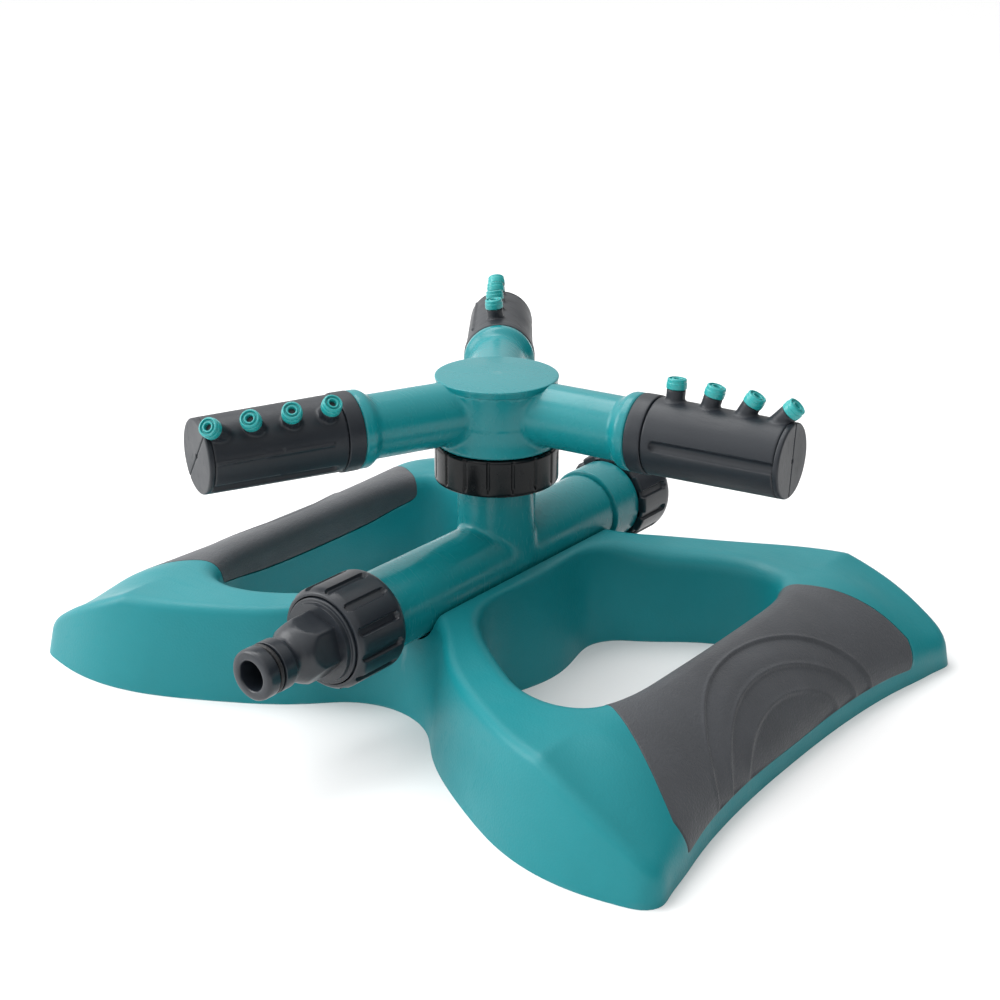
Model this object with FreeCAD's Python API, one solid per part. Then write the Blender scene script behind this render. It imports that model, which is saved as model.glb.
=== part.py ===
"""Rotary lawn sprinkler: a winged base, a water tee, and a three-armed rotor with turnable nozzle heads.

Units are millimetres.  X runs across the wings, Y along the water tube with the inlet at -Y, Z is up.
The origin is on the ground, straight under the rotor's axis.
"""
import FreeCAD, Part
import math
import os

V = FreeCAD.Vector
os.makedirs("parts", exist_ok=True)

# ---- driving dimensions -------------------------------------------------------------------------
WALL = 3.0                  # moulded wall of the base
PAD = 1.5                   # thickness of the soft grip
CREST = 31.6                # height of the base's top surface
EDGE = 9.5                  # height of its outer edge
LOFT_TOP = 45.0             # height at which the drafted walls' upper outlines are given

TUBE_Z = 38.6               # axis of the water tube
TUBE_R = 13.2
TUBE_BORE = 9.5
SADDLE_R = TUBE_R + 0.25    # the trough in the base that the tube lies in
RISER_R = 13.1
RISER_BORE = 9.0

THREAD_R = 13.2             # crest of the 3/4 inch hose thread
THREAD_DEPTH = 1.1
PITCH = 1.814               # 14 threads to the inch
NUT_BORE = 13.35
GROOVES = 12                # grip grooves round the nut and the cap

GROOVE_R = 1.25             # their round cutters' radius
GROOVE_DEPTH = 1.1

INLET_END = -73.0           # the tee's inlet face
NUT_REAR = -64.6
NUT_FRONT = -85.6
NUT_R = 16.5
NUT_WEB_REAR = -77.5        # the nut's inner web, which pulls the nipple's clip
NUT_WEB_FRONT = -79.5
NUT_WEB_R = 10.3
NUT_RECESS_R = 14.25
NOSE_FACE = -115.9          # the hose nipple's front face
NOSE_R = 8.0
NOSE_BORE = 4.7
O_RING_FRONT = -111.4       # the groove in the nose
O_RING_REAR = -108.8
O_RING_R = 0.75
NECK_R = 6.2
HEX_FRONT = -97.2
HEX_REAR = -88.2
HEX_FLATS = 18.6
HEX_CORNER_R = 10.4         # the hexagon's turned-down corners
FLANGE_FRONT = -86.4        # the nipple's flange in the nut's recess
FLANGE_BACK = -79.7
RIM_R = 13.9
COLLAR_STEP_R = 12.6
SHANK_R = 10.1              # the nipple's shank through the nut's web
CLIP_GROOVE_R = 9.1
CLIP_FRONT = -77.35
CLIP_REAR = -76.1
NIPPLE_REAR = -75.2
NIPPLE_BORE = 7.5
WASHER_R = 12.6

BEAD_START = 52.0           # the raised band before the outlet's thread
BEAD_END = 65.6
BEAD_R = 14.5
OUTLET_END = 78.5           # the tee's outlet face
CAP_R = 16.8
CAP_START = 66.0
CAP_END = 84.2
CAP_FLOOR = 80.9

COLLAR_R = 20.7
COLLAR_BOTTOM = 66.7
COLLAR_TOP = 79.0
COLLAR_WEB = 76.6           # underside of the collar's inner web
COLLAR_BORE = 16.55
COLLAR_LIP_R = 10.0
COLLAR_RIBS = 30
RISER_TOP = 72.6
RISER_FLANGE_R = 16.3
RISER_SEAL_TOP = 73.8
SPINDLE_FOOT = 73.9
SPINDLE_FLANGE_TOP = 75.55
SPINDLE_FLANGE_R = 13.8
SPINDLE_TOP = 84.4
SPINDLE_R = 9.62
SPINDLE_BORE = 7.0
SPINDLE_GROOVE_R = 7.9
SPINDLE_GROOVE = (81.0, 82.8)

HUB_BOTTOM = 79.5
HUB_R = 20.4
SKIRT_R = 19.7
WAIST_R = 18.6
WAIST_Z = 88.0
CHAMBER_R = 12.0            # the water chamber over the spindle
CHAMBER_BOTTOM = 86.0
CHAMBER_TOP = 96.5
CAP_DISC_BOTTOM = 99.8
CAP_DISC_EDGE = 102.3
CAP_DISC_TOP = 102.9

ARM_Z = 91.7
ARM_R = 10.4
ARM_BORE = 7.2
ARM_HEADINGS = {"right": 7.12, "back": 127.12, "left": 247.12}      # degrees about Z
HEAD_LEANS = {"right": 6.0, "back": 7.0, "left": 41.0}              # degrees about each arm
FLANGE_START = 46.5
FLANGE_R = 12.6
FLANGE_END = 52.6
SPIGOT_R = 8.6
SPIGOT_END = 70.0

RING_START = 52.75
RING_END = 58.3
RING_R = 12.75
SLEEVE_R = 10.55
SLEEVE_END = 67.0
BARREL_START = 58.5
BARREL_END = 101.8
BARREL_INNER_END_R = 12.35
BARREL_OUTER_END_R = 11.85
END_CAP_FACE = 103.6
STALK_R = 2.9
JET_BORE = 1.5
TIP_R = 3.25
TIP_LENGTH = 3.4
FLUTE_R = 1.9
FLUTE_START = 61.5
NOZZLES = [                 # where each jet's axis leaves the barrel's, its lean, and its length
    (63.7, 0.0, 19.3),
    (72.4, 14.0, 19.5),
    (80.9, 28.0, 20.6),
    (88.0, 42.0, 23.2),
]

SCREW_SPOTS = [(sx * 10.0, sy * 30.0) for sx in (-1, 1) for sy in (-1, 1)]
PILLAR_R = 3.5
PILLAR_FOOT = 25.2
BOSS_R = 6.3
BOSS_FOOT = 22.2
SCREW_R = 1.5
SCREW_HEAD_R = 3.4
SCREW_HEAD = 2.0
SCREW_REACH = 7.8
RIB = 2.0                   # thickness of the ribs under the trough


# ---- helpers ------------------------------------------------------------------------------------
def save(shape, name):
    """Write one node, and say what is in it."""
    shape.exportStep(os.path.join("parts", name + ".step"))
    print("%-20s solids %d  valid %s  volume %.0f" % (name, len(shape.Solids), shape.isValid(), shape.Volume))


def fuse(first, *rest):
    return first.multiFuse(list(rest)).removeSplitter()


def lathe(outline, centre, axis, radial):
    """Turn a closed outline of (radius, distance along the axis) points about an axis."""
    points = [centre + radial * r + axis * s for r, s in outline]
    face = Part.Face(Part.makePolygon(points + points[:1]))
    return face.revolve(centre, axis, 360)


def lathe_y(outline):
    """Turn (radius, y) points about the water tube's axis."""
    return lathe(outline, V(0, 0, TUBE_Z), V(0, 1, 0), V(1, 0, 0))


def lathe_z(outline):
    """Turn (radius, z) points about the rotor's axis."""
    return lathe(outline, V(0, 0, 0), V(0, 0, 1), V(1, 0, 0))


def lathe_x(outline):
    """Turn (radius, x) points about X, as a nozzle head is drawn before it is placed."""
    return lathe(outline, V(0, 0, 0), V(1, 0, 0), V(0, 0, 1))


def box_ring(r_in, r_out, low, high):
    return [(r_in, low), (r_out, low), (r_out, high), (r_in, high)]


def cylinder_y(radius, y0, y1):
    return Part.makeCylinder(radius, y1 - y0, V(0, y0, TUBE_Z), V(0, 1, 0))


def groove_cutter(radius, start, end):
    """A rod along X with one round end, to cut a round-ended groove."""
    rod = Part.makeCylinder(radius, end - start, V(start, 0, 0), V(1, 0, 0))
    return fuse(rod, Part.makeSphere(radius, V(end, 0, 0)))


# ---- base ---------------------------------------------------------------------------------------
# One quarter of the base's outline on the ground, from the waist round the corner to the wing's edge.
OUTLINE = [(0, 52), (17, 57.5), (26, 66), (37, 75), (50, 83), (63, 90), (75, 95.3), (90, 99),
           (105, 99.3), (118, 97), (125, 94), (127, 90.5), (126.3, 85), (124.6, 76), (122, 63),
           (119.7, 47), (118.2, 28), (117.6, 0)]
# One half of the right hand hole, on the ground and at the walls' upper outline.
HOLE_LOW = [(25.5, 0), (24.3, 10), (22, 19), (21.4, 27), (25, 34), (34, 40.5), (45, 48.5),
            (55, 54.5), (66, 57), (75, 54), (80, 45), (81.7, 28), (82, 0)]
HOLE_HIGH = [(15.9, 0), (15.9, 10), (16, 19), (17, 29), (21.5, 38), (31, 46), (43, 53.5),
             (54.5, 60), (67, 62.5), (78, 59), (83.5, 48), (85.2, 29), (85.5, 0)]
DRAFT_Y = 9.0               # how far the front and back walls lean in over LOFT_TOP
DRAFT_X = 4.0               # and the wings' outer walls
# Half of one grip's end, from the hand hole out past the wing's edge, and its sides down the bar.
GRIP_END = [(70, 48), (84, 56), (96, 62.8), (105.5, 67), (114, 70), (124, 73), (136, 76)]
GRIP_FLOOR = [(60, 24.5), (83, 20), (118, 6), (140, 6)]


def whole_outline(quarter):
    """Mirror a quarter outline into the closed one, counter-clockwise from the wing's edge."""
    q1 = list(reversed(quarter))
    q2 = [(-x, y) for x, y in quarter[1:]]
    q3 = [(x, -y) for x, y in reversed(q2[:-1])]
    q4 = [(x, -y) for x, y in quarter[:-1]]
    return q1 + q2 + q3 + q4


def whole_hole(half, side):
    """Mirror half a hole's outline into the closed one, counter-clockwise, on the side +1 or -1."""
    ring = list(reversed(half)) + [(x, -y) for x, y in half[1:-1]]
    if side > 0:
        return ring
    return [(-x, y) for x, y in reversed(ring)]


def drafted(point):
    x, y = point
    lean_x = DRAFT_X * (abs(x) / 120.0) ** 4
    lean_y = DRAFT_Y * min(1.0, abs(y) / 50.0)
    return (x - math.copysign(lean_x, x), y - math.copysign(lean_y, y))


def moved_in(points, distance):
    """Move each point of a counter-clockwise ring inward along its normal."""
    count = len(points)
    out = []
    for i, (x, y) in enumerate(points):
        ax, ay = points[i - 1]
        bx, by = points[(i + 1) % count]
        length = math.hypot(bx - ax, by - ay)
        out.append((x - (by - ay) / length * distance, y + (bx - ax) / length * distance))
    return out


def ring_wire(points, z):
    curve = Part.BSplineCurve()
    curve.interpolate([V(x, y, z) for x, y in points], PeriodicFlag=True)
    return Part.Wire(curve.toShape())


def drafted_solid(low, high, inset, bottom):
    """A drafted block between two outlines moved in by inset, from a height at or below 0 to LOFT_TOP."""
    low_ring = moved_in(low, inset)
    high_ring = moved_in(high, inset)
    share = bottom / LOFT_TOP
    start = [(a + (c - a) * share, b + (d - b) * share)
             for (a, b), (c, d) in zip(low_ring, high_ring)]
    return Part.makeLoft([ring_wire(start, bottom), ring_wire(high_ring, LOFT_TOP)], True, True)


def top_height(x, y):
    """Height of the base's top surface: a saddle by the tube, falling over the grips to the edge."""
    ax = abs(x)
    ay = abs(y)
    height = CREST + 6.4 * math.exp(-(ax / 26.0) ** 2)
    edge_x = 117.6 + 9.4 * (ay / 92.0) ** 2
    u = max(0.0, (ax - 86.0) / (edge_x - 86.0))
    near_end = min(1.0, max(0.0, (ay - 68.0) / 22.0))
    bump = 4.5 * near_end ** 2 * (3 - 2 * near_end) * 4 * u * max(0.0, 1 - u)
    return height - (height - EDGE) * u ** 2.2 - bump


def under_top(lowering):
    """Everything under the base's top surface, lowered by a wall's thickness."""
    xs = [-140 + 10 * i for i in range(29)]
    ys = [-112 + 16 * j for j in range(15)]
    grid = [[V(x, y, top_height(x, y) - lowering) for y in ys] for x in xs]
    surface = Part.BSplineSurface()
    surface.interpolate(grid)
    return surface.toShape().extrude(V(0, 0, -90))


def hand_hole(side, growth):
    """A hand hole's space, grown outward, from below the ground up."""
    return drafted_solid(whole_hole(HOLE_LOW, side), whole_hole(HOLE_HIGH, side), -growth, -2.0)


def base_block(inset):
    """The base as a solid block, with every face moved in by inset."""
    ring = whole_outline(OUTLINE)
    block = drafted_solid(ring, [drafted(p) for p in ring], inset, -1.0 if inset else 0.0)
    block = block.common(under_top(inset))
    return block.cut(hand_hole(1, inset)).cut(hand_hole(-1, inset))


def grip_zone(side):
    """The space that a grip covers: across the bar, and partway down both of its sides."""
    high = 60.0
    end_curve = Part.BSplineCurve()
    end_curve.interpolate([V(x, y, 0) for x, y in GRIP_END])
    back = end_curve.toShape()
    front = back.mirror(V(0, 0, 0), V(0, 1, 0))
    (inner_x, inner_y), (outer_x, outer_y) = GRIP_END[0], GRIP_END[-1]
    inner = Part.makeLine(V(inner_x, -inner_y, 0), V(inner_x, inner_y, 0))
    outer = Part.makeLine(V(outer_x, -outer_y, 0), V(outer_x, outer_y, 0))
    wire = Part.Wire(Part.__sortEdges__([back, front, inner, outer]))
    column = Part.Face(wire).extrude(V(0, 0, high))
    ring = [(GRIP_FLOOR[0][0], high)] + GRIP_FLOOR + [(GRIP_FLOOR[-1][0], high)]
    floor = [V(x, -90, z) for x, z in ring]
    above = Part.Face(Part.makePolygon(floor + floor[:1])).extrude(V(0, 180, 0))
    zone = column.common(above)
    return zone if side > 0 else zone.mirror(V(0, 0, 0), V(1, 0, 0))


def base_interior():
    """The hollow under the base: the block less a wall all round, the saddle, bosses and ribs."""
    hollow = base_block(WALL)
    saddle = cylinder_y(SADDLE_R + WALL, -70, 70)
    rib_across = Part.makeBox(60, RIB, 60, V(-30, -RIB / 2, -2))
    rib_along = Part.makeBox(RIB, 120, 60, V(-RIB / 2, -60, -2))
    keep = [saddle, rib_across, rib_along]
    for x, y in SCREW_SPOTS:
        keep.append(Part.makeCylinder(BOSS_R, 30, V(x, y, BOSS_FOOT)))
    for solid in keep:
        hollow = hollow.cut(solid)
    return hollow


def make_base():
    """The base shell and its two grips."""
    block = base_block(0.0)
    core = base_block(PAD)
    shell = block.cut(base_interior()).cut(cylinder_y(SADDLE_R, -75, 75))
    for x, y in SCREW_SPOTS:
        shell = shell.cut(Part.makeCylinder(PILLAR_R + 0.2, 15, V(x, y, PILLAR_FOOT)))
        shell = shell.cut(Part.makeCylinder(SCREW_R + 0.2, 10, V(x, y, BOSS_FOOT - 2)))
    for side, name in ((1, "grip_pad_right"), (-1, "grip_pad_left")):
        pad = block.common(grip_zone(side)).cut(core)
        shell = shell.cut(pad)
        save(pad, name)
    save(shell, "base_shell")


# ---- water tee ----------------------------------------------------------------------------------
def thread_outline(start, end):
    """The (radius, y) points of a thread's crests and roots, as plain rings at the thread's pitch."""
    points = []
    turns = int((end - start) / PITCH)
    for i in range(turns):
        y = start + i * PITCH
        points += [(THREAD_R - THREAD_DEPTH, y), (THREAD_R, y + 0.35 * PITCH),
                   (THREAD_R, y + 0.55 * PITCH), (THREAD_R - THREAD_DEPTH, y + 0.9 * PITCH)]
    return points


def make_tee():
    """The moulded water tee: a threaded inlet, a threaded outlet, and the riser."""
    root = THREAD_R - THREAD_DEPTH
    valley = TUBE_R - 0.7
    outline = [(TUBE_BORE, INLET_END), (root - 0.5, INLET_END)]
    outline += thread_outline(INLET_END + 0.6, NUT_REAR - 0.8)
    outline += [(root, NUT_REAR - 0.6), (TUBE_R, NUT_REAR + 0.6),
                (TUBE_R, BEAD_START - 1.2), (valley, BEAD_START - 0.8), (valley, BEAD_START - 0.2),
                (BEAD_R - 0.2, BEAD_START), (BEAD_R, BEAD_START + 1), (BEAD_R, BEAD_END - 0.5),
                (BEAD_R - 0.5, BEAD_END), (root, BEAD_END)]
    outline += thread_outline(BEAD_END + 0.6, OUTLET_END - 0.6)
    outline += [(root - 0.5, OUTLET_END), (TUBE_BORE, OUTLET_END)]
    tube = lathe_y(outline)
    riser = lathe_z([(RISER_BORE, TUBE_Z), (RISER_R, TUBE_Z), (RISER_R, COLLAR_BOTTOM - 0.5),
                     (RISER_FLANGE_R, COLLAR_BOTTOM + 0.6), (RISER_FLANGE_R, RISER_TOP),
                     (RISER_BORE, RISER_TOP)])
    pillars = [Part.makeCylinder(PILLAR_R, 9.0, V(x, y, PILLAR_FOOT)) for x, y in SCREW_SPOTS]
    body = fuse(tube, riser, *pillars)
    body = body.cut(cylinder_y(TUBE_BORE, INLET_END - 1, OUTLET_END + 1))
    body = body.cut(Part.makeCylinder(RISER_BORE, 60, V(0, 0, TUBE_Z)))
    for x, y in SCREW_SPOTS:
        body = body.cut(Part.makeCylinder(SCREW_R, 5.6, V(x, y, PILLAR_FOOT - 0.1)))
    save(body, "tee_body")


def make_tee_screws():
    """Four pan-head screws from under the base into the tee's pillars."""
    screws = []
    foot = BOSS_FOOT - SCREW_HEAD
    for x, y in SCREW_SPOTS:
        head = Part.makeCylinder(SCREW_HEAD_R, SCREW_HEAD, V(x, y, foot))
        head = head.makeFillet(0.8, [e for e in head.Edges if abs(e.CenterOfMass.z - foot) < 0.01])
        slot = [Part.makeBox(a, b, 0.9, V(x - a / 2, y - b / 2, foot - 0.1))
                for a, b in ((4.0, 0.8), (0.8, 4.0))]
        shank = Part.makeCylinder(SCREW_R, SCREW_REACH, V(x, y, BOSS_FOOT))
        screws.append(fuse(head, shank).cut(slot[0]).cut(slot[1]))
    save(Part.makeCompound(screws), "tee_screws")


def make_collar():
    """The threaded collar that holds the rotor's spindle down on the riser, and its two washers."""
    chamfer = 0.6
    body = lathe_z([(COLLAR_BORE, COLLAR_BOTTOM), (COLLAR_R - chamfer, COLLAR_BOTTOM),
                    (COLLAR_R, COLLAR_BOTTOM + chamfer), (COLLAR_R, COLLAR_TOP - chamfer),
                    (COLLAR_R - chamfer, COLLAR_TOP), (COLLAR_LIP_R, COLLAR_TOP),
                    (COLLAR_LIP_R, COLLAR_WEB), (COLLAR_BORE, COLLAR_WEB)])
    rod = groove_cutter(0.75, -2, COLLAR_TOP - COLLAR_BOTTOM - 2.2)
    rod.rotate(V(0, 0, 0), V(0, 1, 0), 90)
    rod.translate(V(COLLAR_R + 0.25, 0, COLLAR_TOP))
    cutters = []
    for i in range(COLLAR_RIBS):
        turned = rod.copy()
        turned.rotate(V(0, 0, 0), V(0, 0, 1), 360.0 / COLLAR_RIBS * i + 5.0)
        cutters.append(turned)
    save(body.cut(Part.makeCompound(cutters)), "collar_nut")
    save(lathe_z(box_ring(10.2, 14.5, RISER_TOP, RISER_SEAL_TOP)), "riser_seal")
    save(lathe_z(box_ring(SPINDLE_R + 0.1, 14.5, SPINDLE_FLANGE_TOP + 0.1, COLLAR_WEB)), "thrust_washer")


def grooved(body, reach, start, end, direction):
    """Cut round-ended grip grooves along Y into a nut; direction is +1 if they run out at start."""
    rod = groove_cutter(GROOVE_R, -1.0, end - start)
    rod.rotate(V(0, 0, 0), V(0, 0, 1), 90.0 * direction)
    rod.translate(V(0, start if direction > 0 else end, TUBE_Z + reach + GROOVE_R - GROOVE_DEPTH))
    cutters = []
    for i in range(GROOVES):
        turned = rod.copy()
        turned.rotate(V(0, 0, TUBE_Z), V(0, 1, 0), 360.0 / GROOVES * i + 8.0)
        cutters.append(turned)
    return body.cut(Part.makeCompound(cutters))


def make_inlet():
    """The nut, the hose nipple that it holds, and the nipple's clip, washer and O-ring."""
    nut = lathe_y([(NUT_BORE, NUT_REAR), (NUT_R - 1.2, NUT_REAR), (NUT_R - 0.3, NUT_REAR - 0.8),
                   (NUT_R, NUT_REAR - 2.0), (NUT_R, NUT_FRONT + 1.8), (NUT_R - 0.4, NUT_FRONT + 0.7),
                   (NUT_R - 1.4, NUT_FRONT), (NUT_RECESS_R, NUT_FRONT), (NUT_RECESS_R, NUT_WEB_FRONT),
                   (NUT_WEB_R, NUT_WEB_FRONT), (NUT_WEB_R, NUT_WEB_REAR), (NUT_BORE, NUT_WEB_REAR)])
    nut = grooved(nut, NUT_R, NUT_FRONT, NUT_REAR - 3.8, 1)
    save(nut, "inlet_nut")
    nose = [(NOSE_BORE, NOSE_FACE), (NOSE_R - 0.9, NOSE_FACE), (NOSE_R, NOSE_FACE + 0.9),
            (NOSE_R, O_RING_FRONT), (NECK_R + 0.2, O_RING_FRONT), (NECK_R + 0.2, O_RING_REAR),
            (NOSE_R, O_RING_REAR), (NOSE_R, -104.6), (NOSE_R - 0.5, -103.9), (NECK_R + 0.4, -103.2)]
    ogive = [(NECK_R, -102.0), (NECK_R + 0.3, -101.0), (7.9, -99.8), (8.9, -98.4), (9.6, HEX_FRONT),
             (HEX_CORNER_R, -95.4)]
    flange = [(HEX_CORNER_R, HEX_REAR), (COLLAR_STEP_R - 0.4, HEX_REAR), (COLLAR_STEP_R, HEX_REAR + 0.6),
              (COLLAR_STEP_R, FLANGE_FRONT), (RIM_R - 0.4, FLANGE_FRONT), (RIM_R, FLANGE_FRONT + 0.5),
              (RIM_R, FLANGE_BACK), (SHANK_R, FLANGE_BACK)]
    shank = [(SHANK_R, CLIP_FRONT), (CLIP_GROOVE_R, CLIP_FRONT), (CLIP_GROOVE_R, CLIP_REAR),
             (SHANK_R, CLIP_REAR), (SHANK_R, NIPPLE_REAR), (NIPPLE_BORE, NIPPLE_REAR),
             (NIPPLE_BORE, -92.0), (NOSE_BORE, -96.0)]
    save(lathe_y(nose + ogive + flange + shank).common(hex_limit()), "inlet_nipple")
    clip = lathe_y(box_ring(CLIP_GROOVE_R + 0.05, 12.4, CLIP_FRONT, CLIP_REAR - 0.05))
    clip = clip.cut(Part.makeBox(6.0, 2.0, 20.0, V(-3.0, CLIP_FRONT - 0.35, TUBE_Z - 20)))
    save(clip, "nipple_clip")
    save(lathe_y(box_ring(NIPPLE_BORE + 0.1, WASHER_R, NIPPLE_REAR, INLET_END)), "inlet_washer")
    middle = (O_RING_FRONT + O_RING_REAR) / 2
    o_ring = Part.makeTorus(NECK_R + 0.23 + O_RING_R, O_RING_R, V(0, middle, TUBE_Z), V(0, 1, 0))
    save(o_ring, "nipple_o_ring")


def hex_limit():
    """Limits the nipple's middle to a hexagon for a spanner, and leaves the rest alone."""
    corner = HEX_FLATS / math.sqrt(3)
    turns = [math.radians(60 * i + 15) for i in range(6)]
    points = [V(corner * math.cos(a), HEX_FRONT, TUBE_Z + corner * math.sin(a)) for a in turns]
    hexagon = Part.Face(Part.makePolygon(points + points[:1])).extrude(V(0, HEX_REAR - HEX_FRONT, 0))
    front = cylinder_y(20, NOSE_FACE - 4, HEX_FRONT)
    rear = cylinder_y(20, HEX_REAR, NIPPLE_REAR + 5)
    return fuse(front, hexagon, rear)


def make_outlet_cap():
    """The cap on the outlet, and its washer."""
    cap = lathe_y([(NUT_BORE, CAP_START), (CAP_R - 0.5, CAP_START), (CAP_R, CAP_START + 0.5),
                   (CAP_R, CAP_END - 2.4), (CAP_R - 0.7, CAP_END - 0.7), (CAP_R - 2.4, CAP_END),
                   (0, CAP_END), (0, CAP_FLOOR), (NUT_BORE, CAP_FLOOR)])
    cap = grooved(cap, CAP_R, CAP_START + 4.0, CAP_END - 4.0, -1)
    save(cap, "outlet_cap")
    save(Part.makeCylinder(12.9, 2.2, V(0, OUTLET_END + 0.1, TUBE_Z), V(0, 1, 0)), "outlet_washer")


# ---- rotor --------------------------------------------------------------------------------------
def along_arm(shape, heading):
    """Carry a shape drawn along X to an arm's place."""
    moved = shape.copy()
    moved.rotate(V(0, 0, 0), V(0, 0, 1), ARM_HEADINGS[heading])
    moved.translate(V(0, 0, ARM_Z))
    return moved


def hub_skin():
    """The hub's gently waisted outside, turned from two arcs."""
    rim = V(HUB_R - 0.5, 0, CAP_DISC_BOTTOM)
    waist = V(WAIST_R, 0, WAIST_Z)
    hem = V(SKIRT_R, 0, HUB_BOTTOM + 1.1)
    upper = Part.Arc(rim, V(WAIST_R + 0.35, 0, CAP_DISC_BOTTOM - 5.0), waist)
    lower = Part.Arc(waist, V(WAIST_R + 0.3, 0, HUB_BOTTOM + 4.2), hem)
    corners = [hem, V(SKIRT_R, 0, HUB_BOTTOM), V(0, 0, HUB_BOTTOM), V(0, 0, CAP_DISC_BOTTOM), rim]
    edges = [upper.toShape(), lower.toShape()]
    edges += [Part.makeLine(a, b) for a, b in zip(corners, corners[1:])]
    face = Part.Face(Part.Wire(Part.__sortEdges__(edges)))
    return face.revolve(V(0, 0, 0), V(0, 0, 1), 360)


def arm_outside():
    """One arm along X, with its end flange and the spigot that a head turns on."""
    return lathe_x([(0, 0), (ARM_R, 0), (ARM_R, FLANGE_START), (11.2, FLANGE_START + 1.2),
                    (12.3, FLANGE_START + 3.4), (FLANGE_R, FLANGE_START + 4.2), (FLANGE_R, FLANGE_END - 0.3),
                    (FLANGE_R - 0.3, FLANGE_END), (SPIGOT_R, FLANGE_END), (SPIGOT_R, 60.5), (7.5, 60.5),
                    (7.5, 62.5), (SPIGOT_R, 62.5), (SPIGOT_R, SLEEVE_END + 0.2),
                    (9.1, SLEEVE_END + 0.4), (9.1, SLEEVE_END + 1.2), (8.2, SPIGOT_END), (0, SPIGOT_END)])


def make_hub():
    """The hub with its three arms in one moulding, and the disc that closes its top."""
    arms = [along_arm(arm_outside(), heading) for heading in ARM_HEADINGS]
    body = fuse(hub_skin(), *arms)
    start = HUB_BOTTOM - 1
    bores = [Part.makeCylinder(SPINDLE_BORE, CHAMBER_TOP - start, V(0, 0, start)),
             Part.makeCylinder(SPINDLE_R, SPINDLE_TOP + 0.1 - start, V(0, 0, start)),
             Part.makeCylinder(CHAMBER_R, CHAMBER_TOP - CHAMBER_BOTTOM, V(0, 0, CHAMBER_BOTTOM)),
             Part.makeCylinder(HUB_R + 0.15, 5, V(0, 0, CAP_DISC_BOTTOM))]
    arm_bore = fuse(Part.makeCylinder(ARM_BORE, 45, V(0, 0, 0), V(1, 0, 0)),
                    Part.makeCylinder(6.2, SPIGOT_END + 1, V(0, 0, 0), V(1, 0, 0)))
    bores += [along_arm(arm_bore, heading) for heading in ARM_HEADINGS]
    for bore in bores:
        body = body.cut(bore)
    save(body, "rotor_hub")
    rim = [V(HUB_R - 0.6, 0, CAP_DISC_BOTTOM), V(HUB_R, 0, CAP_DISC_BOTTOM + 0.6),
           V(HUB_R, 0, CAP_DISC_EDGE - 1.0)]
    edges = [Part.makeLine(a, b) for a, b in zip(rim, rim[1:])]
    edges.append(Part.Arc(rim[-1], V(HUB_R - 0.35, 0, CAP_DISC_EDGE - 0.2),
                          V(HUB_R - 1.3, 0, CAP_DISC_EDGE)).toShape())
    edges.append(Part.Arc(V(HUB_R - 1.3, 0, CAP_DISC_EDGE), V(12, 0, CAP_DISC_TOP - 0.2),
                          V(3, 0, CAP_DISC_TOP)).toShape())
    edges.append(Part.makeLine(V(3, 0, CAP_DISC_TOP), V(0, 0, CAP_DISC_TOP)))
    edges.append(Part.makeLine(V(0, 0, CAP_DISC_TOP), V(0, 0, CAP_DISC_BOTTOM)))
    edges.append(Part.makeLine(V(0, 0, CAP_DISC_BOTTOM), rim[0]))
    face = Part.Face(Part.Wire(Part.__sortEdges__(edges)))
    save(face.revolve(V(0, 0, 0), V(0, 0, 1), 360), "hub_cap")


def make_spindle():
    """The hollow spindle that the rotor turns on, with its flange and O-ring."""
    low, high = SPINDLE_GROOVE
    save(lathe_z([(SPINDLE_BORE, SPINDLE_FOOT), (SPINDLE_FLANGE_R, SPINDLE_FOOT),
                  (SPINDLE_FLANGE_R, SPINDLE_FLANGE_TOP), (SPINDLE_R, SPINDLE_FLANGE_TOP), (SPINDLE_R, low),
                  (SPINDLE_GROOVE_R, low), (SPINDLE_GROOVE_R, high), (SPINDLE_R, high),
                  (SPINDLE_R, SPINDLE_TOP), (SPINDLE_BORE, SPINDLE_TOP)]), "spindle")
    save(Part.makeTorus(8.76, 0.84, V(0, 0, (low + high) / 2), V(0, 0, 1)), "spindle_o_ring")


# ---- nozzle heads -------------------------------------------------------------------------------
def along_jet(shape, nozzle):
    """Carry a shape drawn up Z to one jet's place on a head that lies along X."""
    start, lean, _ = nozzle
    moved = shape.copy()
    moved.rotate(V(0, 0, 0), V(0, 1, 0), lean)
    moved.translate(V(start, 0, 0))
    return moved


def place_head(shape, heading):
    """Lean a head drawn along X about its own axis, and carry it to its arm."""
    moved = shape.copy()
    moved.rotate(V(0, 0, 0), V(1, 0, 0), -HEAD_LEANS[heading])
    return along_arm(moved, heading)


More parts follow.
